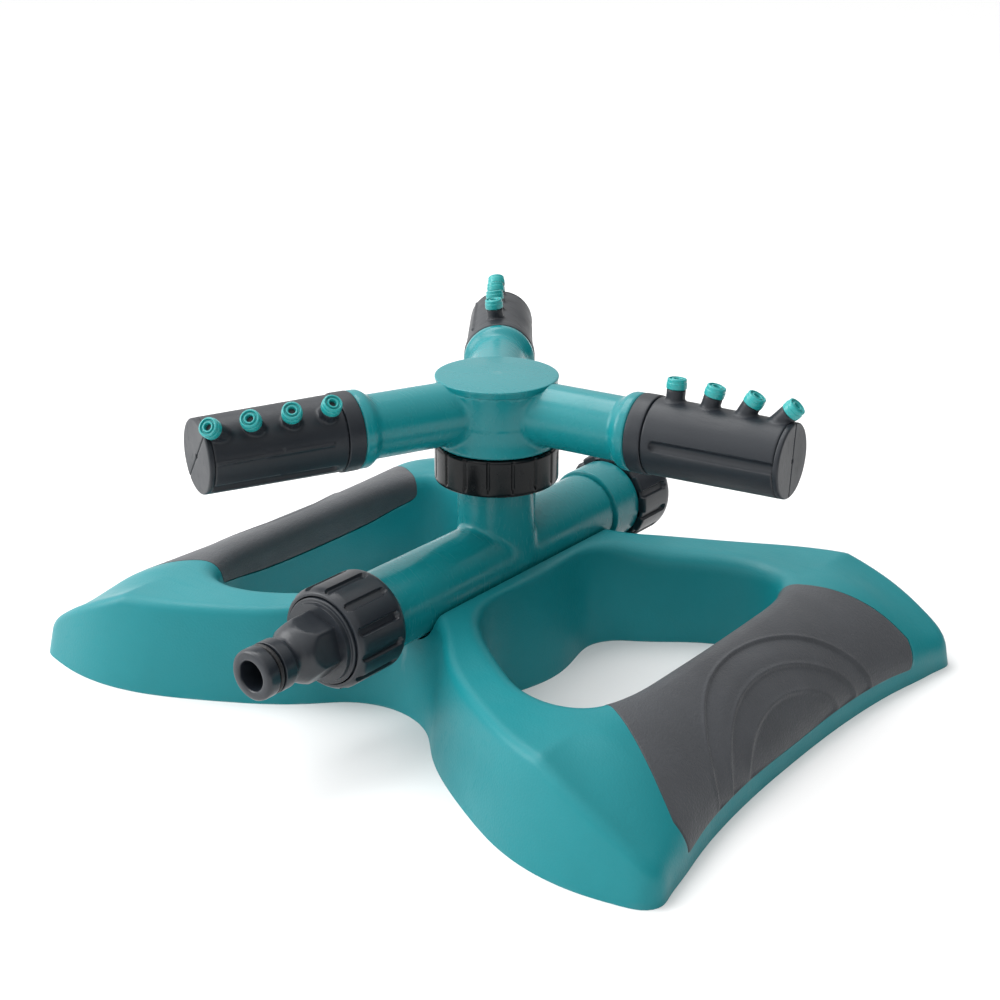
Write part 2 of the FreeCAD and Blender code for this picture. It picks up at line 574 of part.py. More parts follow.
def barrel_shape():
    """The barrel with its four stalks and its shallow grip flutes."""
    outer = lathe_x([(0, BARREL_START), (BARREL_INNER_END_R, BARREL_START),
                     (BARREL_OUTER_END_R, BARREL_END), (0, BARREL_END)])
    flute = Part.makeCylinder(FLUTE_R, BARREL_END - FLUTE_START, V(FLUTE_START, 0, 0), V(1, 0, 0))
    flute = fuse(flute, Part.makeSphere(FLUTE_R, V(FLUTE_START, 0, 0)))
    for angle in (90, -90):
        turned = flute.copy()
        turned.translate(V(0, 0, BARREL_INNER_END_R + 1.25))
        turned.rotate(V(0, 0, 0), V(1, 0, 0), angle)
        outer = outer.cut(turned)
    stalks = []
    for nozzle in NOZZLES:
        length = nozzle[2] - 1.2
        stalk = fuse(Part.makeCylinder(STALK_R, length - 5, V(0, 0, 5)),
                     Part.makeCylinder(STALK_R + 0.35, nozzle[2] - TIP_LENGTH - 0.1 - 5, V(0, 0, 5)))
        stalks.append(along_jet(stalk, nozzle))
    body = fuse(outer, *stalks)
    inside = Part.makeCylinder(SLEEVE_R, BARREL_END - BARREL_START + 2, V(BARREL_START - 1, 0, 0), V(1, 0, 0))
    body = body.cut(inside)
    for nozzle in NOZZLES:
        body = body.cut(along_jet(Part.makeCylinder(JET_BORE, nozzle[2], V(0, 0, 6)), nozzle))
    end_cap_space = Part.makeCylinder(BARREL_OUTER_END_R + 0.02, 5, V(BARREL_END, 0, 0), V(1, 0, 0))
    return body.cut(end_cap_space)


def tip_shape(length):
    """One nozzle tip, drawn up Z with its face at length."""
    low = length - TIP_LENGTH
    return lathe_z([(STALK_R, low), (TIP_R - 0.1, low), (TIP_R, low + 0.3), (TIP_R, length - 0.5),
                    (TIP_R - 0.35, length), (TIP_R - 0.9, length), (TIP_R - 1.2, length - 0.5),
                    (1.2, length - 0.5), (0.8, length - 0.9), (0.5, length - 0.9), (0.5, length - 1.2),
                    (STALK_R, length - 1.2)])


def make_heads():
    """Three identical nozzle heads, each turned to its own lean."""
    barrel = barrel_shape()
    ring = lathe_x([(SPIGOT_R + 0.06, RING_START), (RING_R - 0.3, RING_START), (RING_R, RING_START + 0.3),
                    (RING_R, RING_END - 0.2), (RING_R - 0.2, RING_END), (SLEEVE_R - 0.05, RING_END),
                    (SLEEVE_R - 0.05, SLEEVE_END), (SPIGOT_R + 0.06, SLEEVE_END)])
    plug_r = SLEEVE_R - 0.05
    end_cap = lathe_x([(0, BARREL_END), (plug_r - 1.5, BARREL_END), (plug_r - 1.5, BARREL_END - 2.5),
                       (plug_r, BARREL_END - 2.5), (plug_r, BARREL_END), (BARREL_OUTER_END_R, BARREL_END),
                       (BARREL_OUTER_END_R, END_CAP_FACE - 0.4), (BARREL_OUTER_END_R - 0.4, END_CAP_FACE),
                       (0, END_CAP_FACE)])
    end_cap = end_cap.cut(Part.makeBox(1.0, 0.35, 40, V(END_CAP_FACE - 0.35, -0.175, -20)))
    end_cap = end_cap.cut(Part.makeCylinder(0.6, 1, V(END_CAP_FACE - 0.5, 0, 0), V(1, 0, 0)))
    tips = Part.makeCompound([along_jet(tip_shape(nozzle[2]), nozzle) for nozzle in NOZZLES])
    seal = Part.makeTorus(8.03, 0.52, V(61.5, 0, 0), V(1, 0, 0))
    pieces = {"barrel": barrel, "head_ring": ring, "end_cap": end_cap, "nozzle_tips": tips}
    for heading in ARM_HEADINGS:
        for name, shape in pieces.items():
            save(place_head(shape, heading), name + "_" + heading)
        save(along_arm(seal, heading), "arm_seal_" + heading)


make_base()
make_tee()
make_tee_screws()
make_collar()
make_inlet()
make_outlet_cap()
make_hub()
make_spindle()
make_heads()
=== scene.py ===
"""Looks for the rotary lawn sprinkler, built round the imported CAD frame.

Shapes are worked out in millimetres in the frame's own axes, and written to Blender in metres.
X runs across the wings, Y along the water tube with the inlet at -Y, Z is up from the ground.
"""
import bmesh
import bpy
import math
import numpy as np
from mathutils import Matrix, Vector


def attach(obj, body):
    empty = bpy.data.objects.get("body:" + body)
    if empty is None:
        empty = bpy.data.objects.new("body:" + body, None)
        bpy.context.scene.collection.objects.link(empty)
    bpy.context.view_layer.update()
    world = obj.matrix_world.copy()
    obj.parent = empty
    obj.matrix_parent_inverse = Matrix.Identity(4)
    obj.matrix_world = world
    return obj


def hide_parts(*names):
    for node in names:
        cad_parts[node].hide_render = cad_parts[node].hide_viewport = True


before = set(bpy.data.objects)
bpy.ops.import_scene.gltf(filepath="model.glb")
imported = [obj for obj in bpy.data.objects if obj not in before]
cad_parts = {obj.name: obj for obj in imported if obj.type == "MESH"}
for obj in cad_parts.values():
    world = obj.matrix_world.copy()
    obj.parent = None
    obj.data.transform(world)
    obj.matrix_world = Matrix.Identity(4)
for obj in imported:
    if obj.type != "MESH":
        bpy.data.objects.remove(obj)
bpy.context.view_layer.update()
MM = 0.001

# ---- sizes shared with the frame, in millimetres ----
WALL = 3.0                  # the base's shell
CREST = 31.6                # height of the base's top, and at its outer edge
EDGE = 9.5
LOFT_TOP = 45.0             # outlines are given on the ground and at this height
TUBE_Z = 38.6               # the water tube's axis
TUBE_R = 13.2
SADDLE_R = 13.45            # the trough's bed, and its mouth, which leaves a dark line by the tube
TROUGH_R = 13.85
RISER_R = 13.1
ARM_Z = 91.7
ARM_HEADINGS = {"right": 7.12, "back": 127.12, "left": 247.12}
HEAD_LEANS = {"right": 6.0, "back": 7.0, "left": 41.0}
PITCH = 1.814               # of the hose threads
# Where each jet's axis leaves the barrel's, its lean in degrees, and its length.
NOZZLES = [(63.7, 0.0, 19.3), (72.4, 14.0, 19.5), (80.9, 28.0, 20.6), (88.0, 42.0, 23.2)]
TIP_LENGTH = 3.4


# ---- mesh helpers ----
def smoothstep(x):
    x = np.clip(x, 0.0, 1.0)
    return x * x * (3 - 2 * x)


def quads(rows, cols, close_cols=False):
    """Faces of a grid of rows x cols vertices that is stored row by row."""
    row, col = np.meshgrid(np.arange(rows - 1), np.arange(cols if close_cols else cols - 1), indexing="ij")
    ahead = (col + 1) % cols
    below, above = row * cols, (row + 1) * cols
    return np.stack([below + col, below + ahead, above + ahead, above + col], -1).reshape(-1, 4)


def join(parts):
    """One (vertices, faces) from several; faces is a list of index arrays."""
    points = []
    faces = []
    count = 0
    for part_points, part_faces in parts:
        points.append(part_points)
        faces += [np.asarray(f) + count for f in part_faces]
        count += len(part_points)
    return np.concatenate(points), faces


def link_mesh(name, points, faces):
    """A mesh object in the scene, from points in metres."""
    mesh = bpy.data.meshes.new(name)
    mesh.from_pydata(points, [], faces)
    piece = bpy.data.objects.new(name, mesh)
    bpy.context.scene.collection.objects.link(piece)
    return piece


def in_metres(points, faces):
    """Millimetre points and blocks of faces, as the plain lists that a mesh is made from."""
    return (np.asarray(points) * MM).tolist(), [face.tolist() for block in faces for face in block]


def add_mesh(name, points, faces, material, body, stands_for=(), sharp=None):
    """A shaded mesh piece from millimetre points, riding on a CAD body, with edges sharp above an angle."""
    piece = link_mesh(name, *in_metres(points, faces))
    mesh = piece.data
    mesh.validate()
    mesh.polygons.foreach_set("use_smooth", [True] * len(mesh.polygons))
    if sharp:
        mesh.set_sharp_from_angle(angle=math.radians(sharp))
    mesh.materials.append(material)
    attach(piece, body)
    if stands_for:
        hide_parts(*stands_for)
    return piece


def weld(piece, distance=0.004):
    """Merge vertices that lie on each other, within a distance in millimetres."""
    bm = bmesh.new()
    bm.from_mesh(piece.data)
    bmesh.ops.remove_doubles(bm, verts=bm.verts, dist=distance * MM)
    bmesh.ops.recalc_face_normals(bm, faces=bm.faces)
    bm.to_mesh(piece.data)
    bm.free()


# ---- lathe ----
def rounded(corners, spacing=1.6, steps=5):
    """A dense profile from (radius, station, rounding) corners, each rounded with an arc-like curve."""
    pts = [np.array(c[:2], float) for c in corners]
    out = [pts[0]]
    for i in range(1, len(pts) - 1):
        size = corners[i][2] if len(corners[i]) > 2 else 0.0
        back = pts[i - 1] - pts[i]
        ahead = pts[i + 1] - pts[i]
        size = min(size, 0.49 * np.hypot(*back), 0.49 * np.hypot(*ahead))
        if size <= 0:
            out.append(pts[i])
            continue
        a = pts[i] + back / np.hypot(*back) * size
        b = pts[i] + ahead / np.hypot(*ahead) * size
        for t in np.linspace(0, 1, steps + 1):
            out.append((1 - t) ** 2 * a + 2 * t * (1 - t) * pts[i] + t * t * b)
    out.append(pts[-1])
    dense = [out[0]]
    for p in out[1:]:
        gap = np.hypot(*(p - dense[-1]))
        if gap < 1e-6:
            continue
        pieces = max(1, int(math.ceil(gap / spacing)))
        first = dense[-1]
        dense += [first + (p - first) * k / pieces for k in range(1, pieces + 1)]
    return np.array(dense)


def lathe(profile, segments, shaped=None):
    """Turn a (radius, station) profile about the station axis: points (station, y, z) and faces.

    shaped(radius, station, angle) may change the radius, to cut grooves or flats.
    """
    angle = np.arange(segments) * 2 * math.pi / segments
    radius = np.repeat(profile[:, :1], segments, 1)
    station = np.repeat(profile[:, 1:], segments, 1)
    if shaped:
        radius = shaped(radius, station, np.broadcast_to(angle, radius.shape))
    points = np.stack([station, radius * np.cos(angle), radius * np.sin(angle)], -1).reshape(-1, 3)
    faces = [quads(len(profile), segments, close_cols=True)]
    for row, flip in ((0, True), (len(profile) - 1, False)):
        if profile[row, 0] < 1e-4:
            continue
        ring = row * segments + np.arange(segments)
        if np.allclose(profile[0], profile[-1]):
            break
        faces.append((ring[::-1] if flip else ring)[None, :])
    return points, faces


def turn(points, axes, origin=(0, 0, 0)):
    """Carry lathe points, whose first coordinate is the station, onto three axes at an origin."""
    return points @ np.array(axes, float) + np.array(origin, float)


ALONG_Y = ((0, 1, 0), (0, 0, 1), (1, 0, 0))
ALONG_Z = ((0, 0, 1), (1, 0, 0), (0, 1, 0))


def along_tube(points):
    """Carry lathe points onto the water tube's axis."""
    return turn(points, ALONG_Y, (0, 0, TUBE_Z))


# ---- smooth solids from distance fields ----
def soft_min(a, b, k):
    h = np.maximum(k - np.abs(a - b), 0.0)
    return np.minimum(a, b) - h * h / (4 * k)


def soft_max(a, b, k):
    return -soft_min(-a, -b, k)


def net(field, low, high, step):
    """A closed quad mesh of the surface where field(x, y, z) is 0, between two corners."""
    low = np.array(low, float)
    counts = [int(math.ceil((b - a) / step)) + 1 for a, b in zip(low, high)]
    axes = [a + step * np.arange(n) for a, n in zip(low, counts)]
    value = field(*np.meshgrid(*axes, indexing="ij"))
    inside = value < 0
    nx, ny, nz = value.shape
    total = np.zeros((nx - 1, ny - 1, nz - 1, 3))
    hits = np.zeros((nx - 1, ny - 1, nz - 1))
    crossings = []
    for axis in range(3):
        first = [slice(None)] * 3
        second = [slice(None)] * 3
        first[axis] = slice(0, -1)
        second[axis] = slice(1, None)
        a, b = value[tuple(first)], value[tuple(second)]
        crossed = (a < 0) != (b < 0)
        share = np.where(crossed, a / np.where(crossed, a - b, 1.0), 0.0)
        others = [k for k in range(3) if k != axis]
        for da in (0, 1):
            for db in (0, 1):
                window = [slice(None)] * 3
                window[others[0]] = slice(da, da + total.shape[others[0]])
                window[others[1]] = slice(db, db + total.shape[others[1]])
                c = crossed[tuple(window)]
                offset = np.zeros(c.shape + (3,))
                offset[..., axis] = share[tuple(window)]
                offset[..., others[0]] = da
                offset[..., others[1]] = db
                total += offset * c[..., None]
                hits += c
        crossings.append(np.argwhere(crossed))
    active = hits > 0
    number = np.full(active.shape, -1)
    number[active] = np.arange(active.sum())
    cells = np.argwhere(active)
    points = low + step * (cells + total[active] / hits[active][:, None])
    faces = []
    for axis in range(3):
        u, v = (axis + 1) % 3, (axis + 2) % 3
        at = crossings[axis]
        keep = (at[:, u] > 0) & (at[:, v] > 0) & (at[:, u] < number.shape[u]) & (at[:, v] < number.shape[v])
        at = at[keep]
        corner = []
        for du, dv in ((-1, -1), (0, -1), (0, 0), (-1, 0)):
            where = at.copy()
            where[:, u] += du
            where[:, v] += dv
            corner.append(number[tuple(where.T)])
        quad = np.stack(corner, -1)
        outward = inside[tuple(at.T)]
        quad[~outward] = quad[~outward][:, ::-1]
        faces.append(quad)
    small = step * 0.05
    for _ in range(3):
        x, y, z = points.T
        here = field(x, y, z)
        slope = np.stack([field(x + small, y, z) - here, field(x, y + small, z) - here,
                          field(x, y, z + small) - here], -1) / small
        size = np.maximum((slope ** 2).sum(-1), 0.05)
        move = -(here / size)[:, None] * slope
        length = np.maximum(np.linalg.norm(move, axis=1), 1e-9)
        points = points + move * np.minimum(1.0, 0.5 * step / length)[:, None]
    return points, faces


# ---- materials ----
class Nodes:
    """A material's node tree with short ways to add and link nodes."""

    def __init__(self, name):
        self.material = bpy.data.materials.new(name)
        self.material.use_nodes = True
        self.tree = self.material.node_tree
        self.shader = self.tree.nodes["Principled BSDF"]
        self.place = self.tree.nodes.new("ShaderNodeTexCoord").outputs["Object"]

    def add(self, kind, inputs=(), **settings):
        node = self.tree.nodes.new("ShaderNode" + kind)
        for key, value in settings.items():
            setattr(node, key, value)
        for key, value in dict(inputs).items():
            if isinstance(value, bpy.types.NodeSocket):
                self.tree.links.new(value, node.inputs[key])
            else:
                node.inputs[key].default_value = value
        return node

    def noise(self, scale, detail=3.0, stretch=(1, 1, 1)):
        place = self.add("Mapping", {"Vector": self.place, "Scale": stretch}).outputs[0]
        return self.add("TexNoise", {"Vector": place, "Scale": scale, "Detail": detail}).outputs["Fac"]

    def between(self, value, low, high, start=0.3, end=0.7):
        inputs = {"Value": value, "From Min": start, "From Max": end, "To Min": low, "To Max": high}
        return self.add("MapRange", inputs).outputs[0]

    def blend(self, share, first, second):
        node = self.add("Mix", data_type="RGBA")
        self.tree.links.new(share, node.inputs[0])
        for socket, value in ((node.inputs[6], first), (node.inputs[7], second)):
            if isinstance(value, bpy.types.NodeSocket):
                self.tree.links.new(value, socket)
            else:
                socket.default_value = (*value, 1.0)
        return node.outputs[2]

    def set(self, **sockets):
        for key, value in sockets.items():
            socket = self.shader.inputs[key.replace("_", " ")]
            if isinstance(value, bpy.types.NodeSocket):
                self.tree.links.new(value, socket)
            else:
                socket.default_value = value


def tinted(colour, factor):
    """A lighter or darker colour."""
    return tuple(min(1.0, c * factor) for c in colour)


def moulded(name, colour, roughness, grain=0.00005, wear=0.25, sheen=0.5, swell=0.00016):
    """Moulded plastic: a fine tool texture, faint flow marks, rubbed edges and hairline scratches."""
    n = Nodes(name)
    flow = n.between(n.noise(22, 4.0), 0.0, 1.0)
    body = n.blend(flow, tinted(colour, 0.93), tinted(colour, 1.07))
    pointed = n.add("NewGeometry").outputs["Pointiness"]
    edge = n.between(pointed, 0.0, wear, 0.52, 0.58)
    rubbed = n.between(n.noise(160, 5.0), 0.0, 1.0, 0.42, 0.68)
    edge = n.add("Math", {0: edge, 1: rubbed}, operation="MULTIPLY").outputs[0]
    worn = tuple(0.6 * c + 0.4 * 0.55 for c in colour)
    n.set(Base_Color=n.blend(edge, body, worn))
    scratch = n.between(n.noise(30, 2.0, (3, 40, 9)), 0.0, 1.0, 0.60, 0.66)
    cloudy = n.between(n.noise(75, 4.0), roughness - 0.05, roughness + 0.06)
    rough = n.add("Math", {0: scratch, 1: 0.06, 2: cloudy}, operation="MULTIPLY_ADD").outputs[0]
    n.set(Roughness=rough)
    tooth = n.add("TexVoronoi", {"Vector": n.place, "Scale": 1500.0}, feature="SMOOTH_F1").outputs["Distance"]
    waves = n.noise(60, 2.0)
    fine = n.add("Bump", {"Height": tooth, "Strength": 1.0, "Distance": grain})
    broad = n.add("Bump", {"Height": waves, "Strength": 1.0, "Distance": swell, "Normal": fine.outputs[0]})
    n.set(Normal=broad.outputs[0], IOR=1.5, Specular_IOR_Level=sheen)
    return n.material


def soft_grip(name, colour, roughness):
    """Matt rubber: a sandy tooth, dusty patches, and patches that are smoother or rougher."""
    n = Nodes(name)
    dust = n.between(n.noise(45, 5.0), 0.0, 1.0)
    n.set(Base_Color=n.blend(dust, tinted(colour, 0.9), tinted(colour, 1.14)))
    n.set(Roughness=n.between(n.noise(110, 4.0), roughness - 0.07, roughness + 0.08))
    sand = n.add("TexVoronoi", {"Vector": n.place, "Scale": 1900.0}, feature="SMOOTH_F1").outputs["Distance"]
    speck = n.noise(900, 4.0)
    fine = n.add("Bump", {"Height": sand, "Strength": 1.0, "Distance": 0.00012})
    more = n.add("Bump", {"Height": speck, "Strength": 1.0, "Distance": 0.00012, "Normal": fine.outputs[0]})
    n.set(Normal=more.outputs[0], IOR=1.46, Sheen_Weight=0.12, Sheen_Roughness=0.45)
    return n.material


def plated(name):
    """Plated steel with turned marks."""
    n = Nodes(name)
    marks = n.noise(400, 3.0, (1, 1, 12))
    n.set(Base_Color=n.blend(marks, (0.48, 0.48, 0.50), (0.66, 0.66, 0.68)))
    n.set(Metallic=1.0, Roughness=n.between(n.noise(300, 3.0), 0.25, 0.42))
    n.set(Normal=n.add("Bump", {"Height": marks, "Distance": 0.00004}).outputs[0])
    return n.material


TEAL = moulded("teal_plastic", (0.006, 0.200, 0.226), 0.40, wear=0.30, sheen=0.30)
TEAL_GLOSS = moulded("teal_gloss", (0.005, 0.200, 0.222), 0.25, grain=0.00001, wear=0.20, sheen=0.38,
                     swell=0.00008)
TIP_TEAL = moulded("tip_teal", (0.014, 0.310, 0.310), 0.28, grain=0.00002, wear=0.2, sheen=0.5)
RUBBER = soft_grip("grip_rubber", (0.046, 0.050, 0.057), 0.55)
CHARCOAL = moulded("charcoal_plastic", (0.014, 0.0175, 0.023), 0.42, grain=0.00002, wear=0.10, sheen=0.36)
BLACK = moulded("black_plastic", (0.013, 0.017, 0.023), 0.33, grain=0.00002, wear=0.10, sheen=0.5)
BLACK_GLOSS = moulded("black_gloss", (0.002, 0.003, 0.004), 0.20, grain=0.00001, wear=0.04, sheen=0.24)
SEAL = soft_grip("seal_rubber", (0.006, 0.006, 0.007), 0.5)
ACETAL = moulded("white_acetal", (0.72, 0.72, 0.69), 0.42, wear=0.0)
STEEL = plated("screw_steel")


# ---- base: outlines ----
# A quarter of each outline: the outer edge on the ground, and the hand hole on the ground and at LOFT_TOP.
OUTLINE = [(0, 52), (17, 57.5), (26, 66), (37, 75), (50, 83), (63, 90), (75, 95.3), (90, 99),
           (105, 99.3), (118, 97), (125, 94), (127, 90.5), (126.3, 85), (124.6, 76), (122, 63),
           (119.7, 47), (118.2, 28), (117.6, 0)]
HOLE_LOW = [(25.5, 0), (24.3, 10), (22, 19), (21.4, 27), (25, 34), (34, 40.5), (45, 48.5),
            (55, 54.5), (66, 57), (75, 54), (80, 45), (81.7, 28), (82, 0)]
HOLE_HIGH = [(15.9, 0), (15.9, 10), (16, 19), (17, 29), (21.5, 38), (31, 46), (43, 53.5),
             (54.5, 60), (67, 62.5), (78, 59), (83.5, 48), (85.2, 29), (85.5, 0)]
DRAFT_X = 4.0               # how far the outer wall leans in between the ground and LOFT_TOP
DRAFT_Y = 9.0


def drafted(point):
    """A point of the outer edge, carried up its leaning wall to LOFT_TOP."""
    x, y = point
    return (x - DRAFT_X * (abs(x) / 120.0) ** 4, y - DRAFT_Y * min(1.0, abs(y) / 50.0))


class Curve:
    """A smooth curve through points, mirrored in both ends' axes; at(i) takes a point's index."""

    def __init__(self, points, first_axis, last_axis):
        quarter = np.array(points, float)
        before = quarter[1:] * (np.array([-1, 1]) if first_axis == "y" else np.array([1, -1]))
        after = quarter[:-1] * np.array([1, -1]) if last_axis == "x" else quarter[:-1]
        full = np.concatenate([before[::-1], quarter, after[::-1]])
        self.shift = len(before)
        gaps = np.linalg.norm(np.diff(full, axis=0), axis=1)
        count = len(full)
        matrix = np.eye(count)
        right = np.zeros((count, 2))
        for i in range(1, count - 1):
            matrix[i, i - 1:i + 2] = gaps[i - 1], 2 * (gaps[i - 1] + gaps[i]), gaps[i]
            right[i] = 6 * ((full[i + 1] - full[i]) / gaps[i] - (full[i] - full[i - 1]) / gaps[i - 1])
        self.full, self.gaps, self.bends = full, gaps, np.linalg.solve(matrix, right)

    def at(self, index):
        place = np.clip(np.asarray(index, float) + self.shift, 0, len(self.full) - 1 - 1e-9)
        i = place.astype(int)
        h = self.gaps[i][..., None]
        b = (place - i)[..., None] * h
        a = h - b
        m0, m1 = self.bends[i], self.bends[i + 1]
        p0, p1 = self.full[i], self.full[i + 1]
        return (m0 * a ** 3 + m1 * b ** 3) / (6 * h) + (p0 / h - m0 * h / 6) * a + (p1 / h - m1 * h / 6) * b


# The hand hole's and the outer edge's outlines, on the ground and at LOFT_TOP.
OUTER_LOW = Curve(OUTLINE, "y", "x")
OUTER_HIGH = Curve([drafted(p) for p in OUTLINE], "y", "x")
INNER_LOW = Curve(HOLE_LOW, "x", "x")
INNER_HIGH = Curve(HOLE_HIGH, "x", "x")

# Spokes run from the hand hole to the outer edge.  Each row pairs a place on the hole, as an index into
# its outline, with one on the outer edge: below 0 it is on the centre line, as a share of its length.
SPOKES = [(0, -1.0), (1, -0.8), (2, -0.6), (3, -0.38), (4, 0.0), (5, 1.6), (6, 3.0), (7, 4.3), (8, 6.0),
          (8.6, 7.6), (9.0, 9.6), (9.2, 11.2), (9.4, 12.6), (9.55, 13.3), (10, 14.05), (11, 15.95), (12, 17)]
SPOKE_NUMBERS = np.arange(len(SPOKES))
LAST_SPOKE = float(len(SPOKES) - 1)
CORNER_SPOKE = 4.0          # the first spoke that reaches the outer edge


CREST_RISE = 6.4            # how much higher the top is by the tube
FALL_START = 86.0           # where it starts to fall to the outer edge


def top_height(x, y):
    """Height of the base's top surface: a saddle by the tube, falling over the grips to the edge."""
    ax = np.abs(x)
    ay = np.abs(y)
    height = CREST + CREST_RISE * np.exp(-(ax / 26.0) ** 2)
    edge_x = 117.6 + 9.4 * (ay / 92.0) ** 2
    u = np.maximum(0.0, (ax - FALL_START) / (edge_x - FALL_START))
    near_end = smoothstep((ay - 68.0) / 22.0)
    bump = 4.5 * near_end * 4 * u * np.maximum(0.0, 1 - u)
    return height - (height - EDGE) * u ** 2.2 - bump


def under_height(x, y):
    """Height of the hollow's roof: a wall under the top, and under the trough that the tube lies in."""
    outer = SADDLE_R + WALL
    trough = TUBE_Z - np.sqrt(np.maximum(outer ** 2 - x ** 2, 1.0))
    return np.where(np.abs(x) < outer, np.minimum(top_height(x, y) - WALL, trough), top_height(x, y) - WALL)


class Skin:
    """The base's outer skin, or with an inset its inner one, as places at (spoke, station).

    Stations run 0-1 up the hole's wall, 1-2 over its rim, 2-3 across the top, 3-4 over the outer
    crease and 4-5 down the outer wall.  Spokes run from the tube, 0, to the middle of the grip.
    """

    def __init__(self, inset, roof):
        self.inset = inset
        self.roof = roof

    def loops(self, spoke, z, outer):
        """The hole's or the outer edge's plan point at a height."""
        index = np.interp(spoke, SPOKE_NUMBERS, [s[1 if outer else 0] for s in SPOKES])
        low, high = (OUTER_LOW, OUTER_HIGH) if outer else (INNER_LOW, INNER_HIGH)
        share = (z / LOFT_TOP)[..., None]
        place = np.maximum(index, 0.0)
        point = self.moved(low, place, outer) * (1 - share) + self.moved(high, place, outer) * share
        if outer:
            on_centre = index < 0
            point = np.where(on_centre[..., None], point * np.stack([0 * index, 1 + index], -1), point)
        return point

    def moved(self, curve, index, outer):
        point = curve.at(index)
        if not self.inset:
            return point
        along = curve.at(index + 0.01) - curve.at(index - 0.01)
        along /= np.linalg.norm(along, axis=-1, keepdims=True)
        inward = np.stack([along[..., 1], -along[..., 0]], -1)
        return point + (inward if outer else -inward) * self.inset

    def corner(self, spoke, outer):
        """Where a wall's plane meets the top, before it is rounded."""
        z = np.full(spoke.shape, 30.0)
        for _ in range(60):
            p = self.loops(spoke, z, outer)
            z = 0.5 * z + 0.5 * self.roof(p[..., 0], p[..., 1])
        return z

    def frame_at(self, spoke):
        """The control points that every station between them is worked out from."""
        spoke = np.asarray(spoke, float)
        z_in, z_out = self.corner(spoke, False), self.corner(spoke, True)
        k_in, k_out = self.loops(spoke, z_in, False), self.loops(spoke, z_out, True)
        near_tube = smoothstep((spoke - 2.0) / 3.5)
        soft_in = (1.6 + 5.0 * near_tube) * (0.6 if self.inset else 1.0)
        at_end = smoothstep((spoke - 9.0) / 3.0)
        soft_out = (3.6 + 0.6 * at_end) * (0.6 if self.inset else 1.0)
        step = 0.02
        ahead = self.loops(np.maximum(spoke, CORNER_SPOKE) + step, z_out, True)
        along = ahead - self.loops(np.maximum(spoke, CORNER_SPOKE + step) - step, z_out, True)
        along /= np.linalg.norm(along, axis=-1, keepdims=True)
        inward = np.stack([along[..., 1], -along[..., 0]], -1)
        across = k_out - k_in
        width = np.linalg.norm(across, axis=-1, keepdims=True)
        t_in = k_in + across / width * soft_in[..., None]
        t_out = k_out + inward * soft_out[..., None]
        share = np.interp(spoke, SPOKE_NUMBERS, [1 + min(s[1], 0.0) for s in SPOKES])
        end = OUTLINE[0][1] - DRAFT_Y * z_out / LOFT_TOP - self.inset - soft_out
        centre = np.stack([0 * share, share * end], -1)
        t_out = np.where((spoke < CORNER_SPOKE)[..., None], centre, t_out)
        return z_in, z_out, k_in, k_out, t_in, t_out, soft_in, soft_out

    def at(self, spoke, station):
        """Points at broadcast arrays of spokes and stations."""
        spoke, station = np.broadcast_arrays(np.asarray(spoke, float), np.asarray(station, float))
        z_in, z_out, k_in, k_out, t_in, t_out, soft_in, soft_out = self.frame_at(spoke)

        def raised(plan):
            return np.concatenate([plan, self.roof(plan[..., 0], plan[..., 1])[..., None]], -1)

        def wall(z, outer):
            return np.concatenate([self.loops(spoke, z, outer), z[..., None]], -1)

        def bend(a, b, c, t):
            t = t[..., None]
            return (1 - t) ** 2 * a + 2 * t * (1 - t) * b + t * t * c

        part = np.minimum(station, 4.999).astype(int)
        t = station - part
        wall_top = np.maximum(z_out - soft_out, 2.0)
        w_in = wall(z_in - soft_in, False)
        w_out = wall(wall_top, True)
        across = raised(t_in * (1 - t[..., None]) + t_out * t[..., None])
        choices = [wall((z_in - soft_in) * t, False),
                   bend(w_in, wall(z_in, False), raised(t_in), t),
                   across,
                   bend(raised(t_out), wall(z_out, True), w_out, t),
                   wall(wall_top * (1 - t), True)]
        result = np.zeros(spoke.shape + (3,))
        for i, choice in enumerate(choices):
            result = np.where(part[..., None] == i, choice, result)
        return result


SKIN = Skin(0.0, top_height)
LINING = Skin(WALL, under_height)


# ---- base: where the grips lie ----
CUT_SPOKE = 12.4            # the grip's recess is worked into the skin from here on
CUT_LOW, CUT_HIGH = 0.62, 4.45
LIP = 0.15                  # depth of the recess's crisp upper edge
PAD_LENGTH = 73.0           # half a grip along the outer edge
PAD_WIDTH = 55.0            # across it, from its lower inner edge over the bar to its lower outer edge
PAD_SINK = 1.3              # depth of the recess
SEAM = 0.24                 # gap round the grip
NEAR_CORNERS = (3.0, 3.0)   # the grip's inner and outer corner radii, at the inlet's end
FAR_CORNERS = (6.0, 9.0)
SPOKE_RUN = ([13, 14, 15, 16], [0.0, 10.5, 44.0, PAD_LENGTH])     # distance from the grip's end
STATION_RUN = [0.0, 4.0, 13.0, 45.0, 52.5, PAD_WIDTH]


def rounded_corner(a, b, radius):
    """Move a point (a, b) of a rectangle's corner into a rounded one; both run from the corner."""
    u = np.clip(1 - a / radius, 0, 1)
    v = np.clip(1 - b / radius, 0, 1)
    near = (a < radius) & (b < radius)
    return (np.where(near, radius * (1 - u * np.sqrt(1 - v * v / 2)), a),
            np.where(near, radius * (1 - v * np.sqrt(1 - u * u / 2)), b))


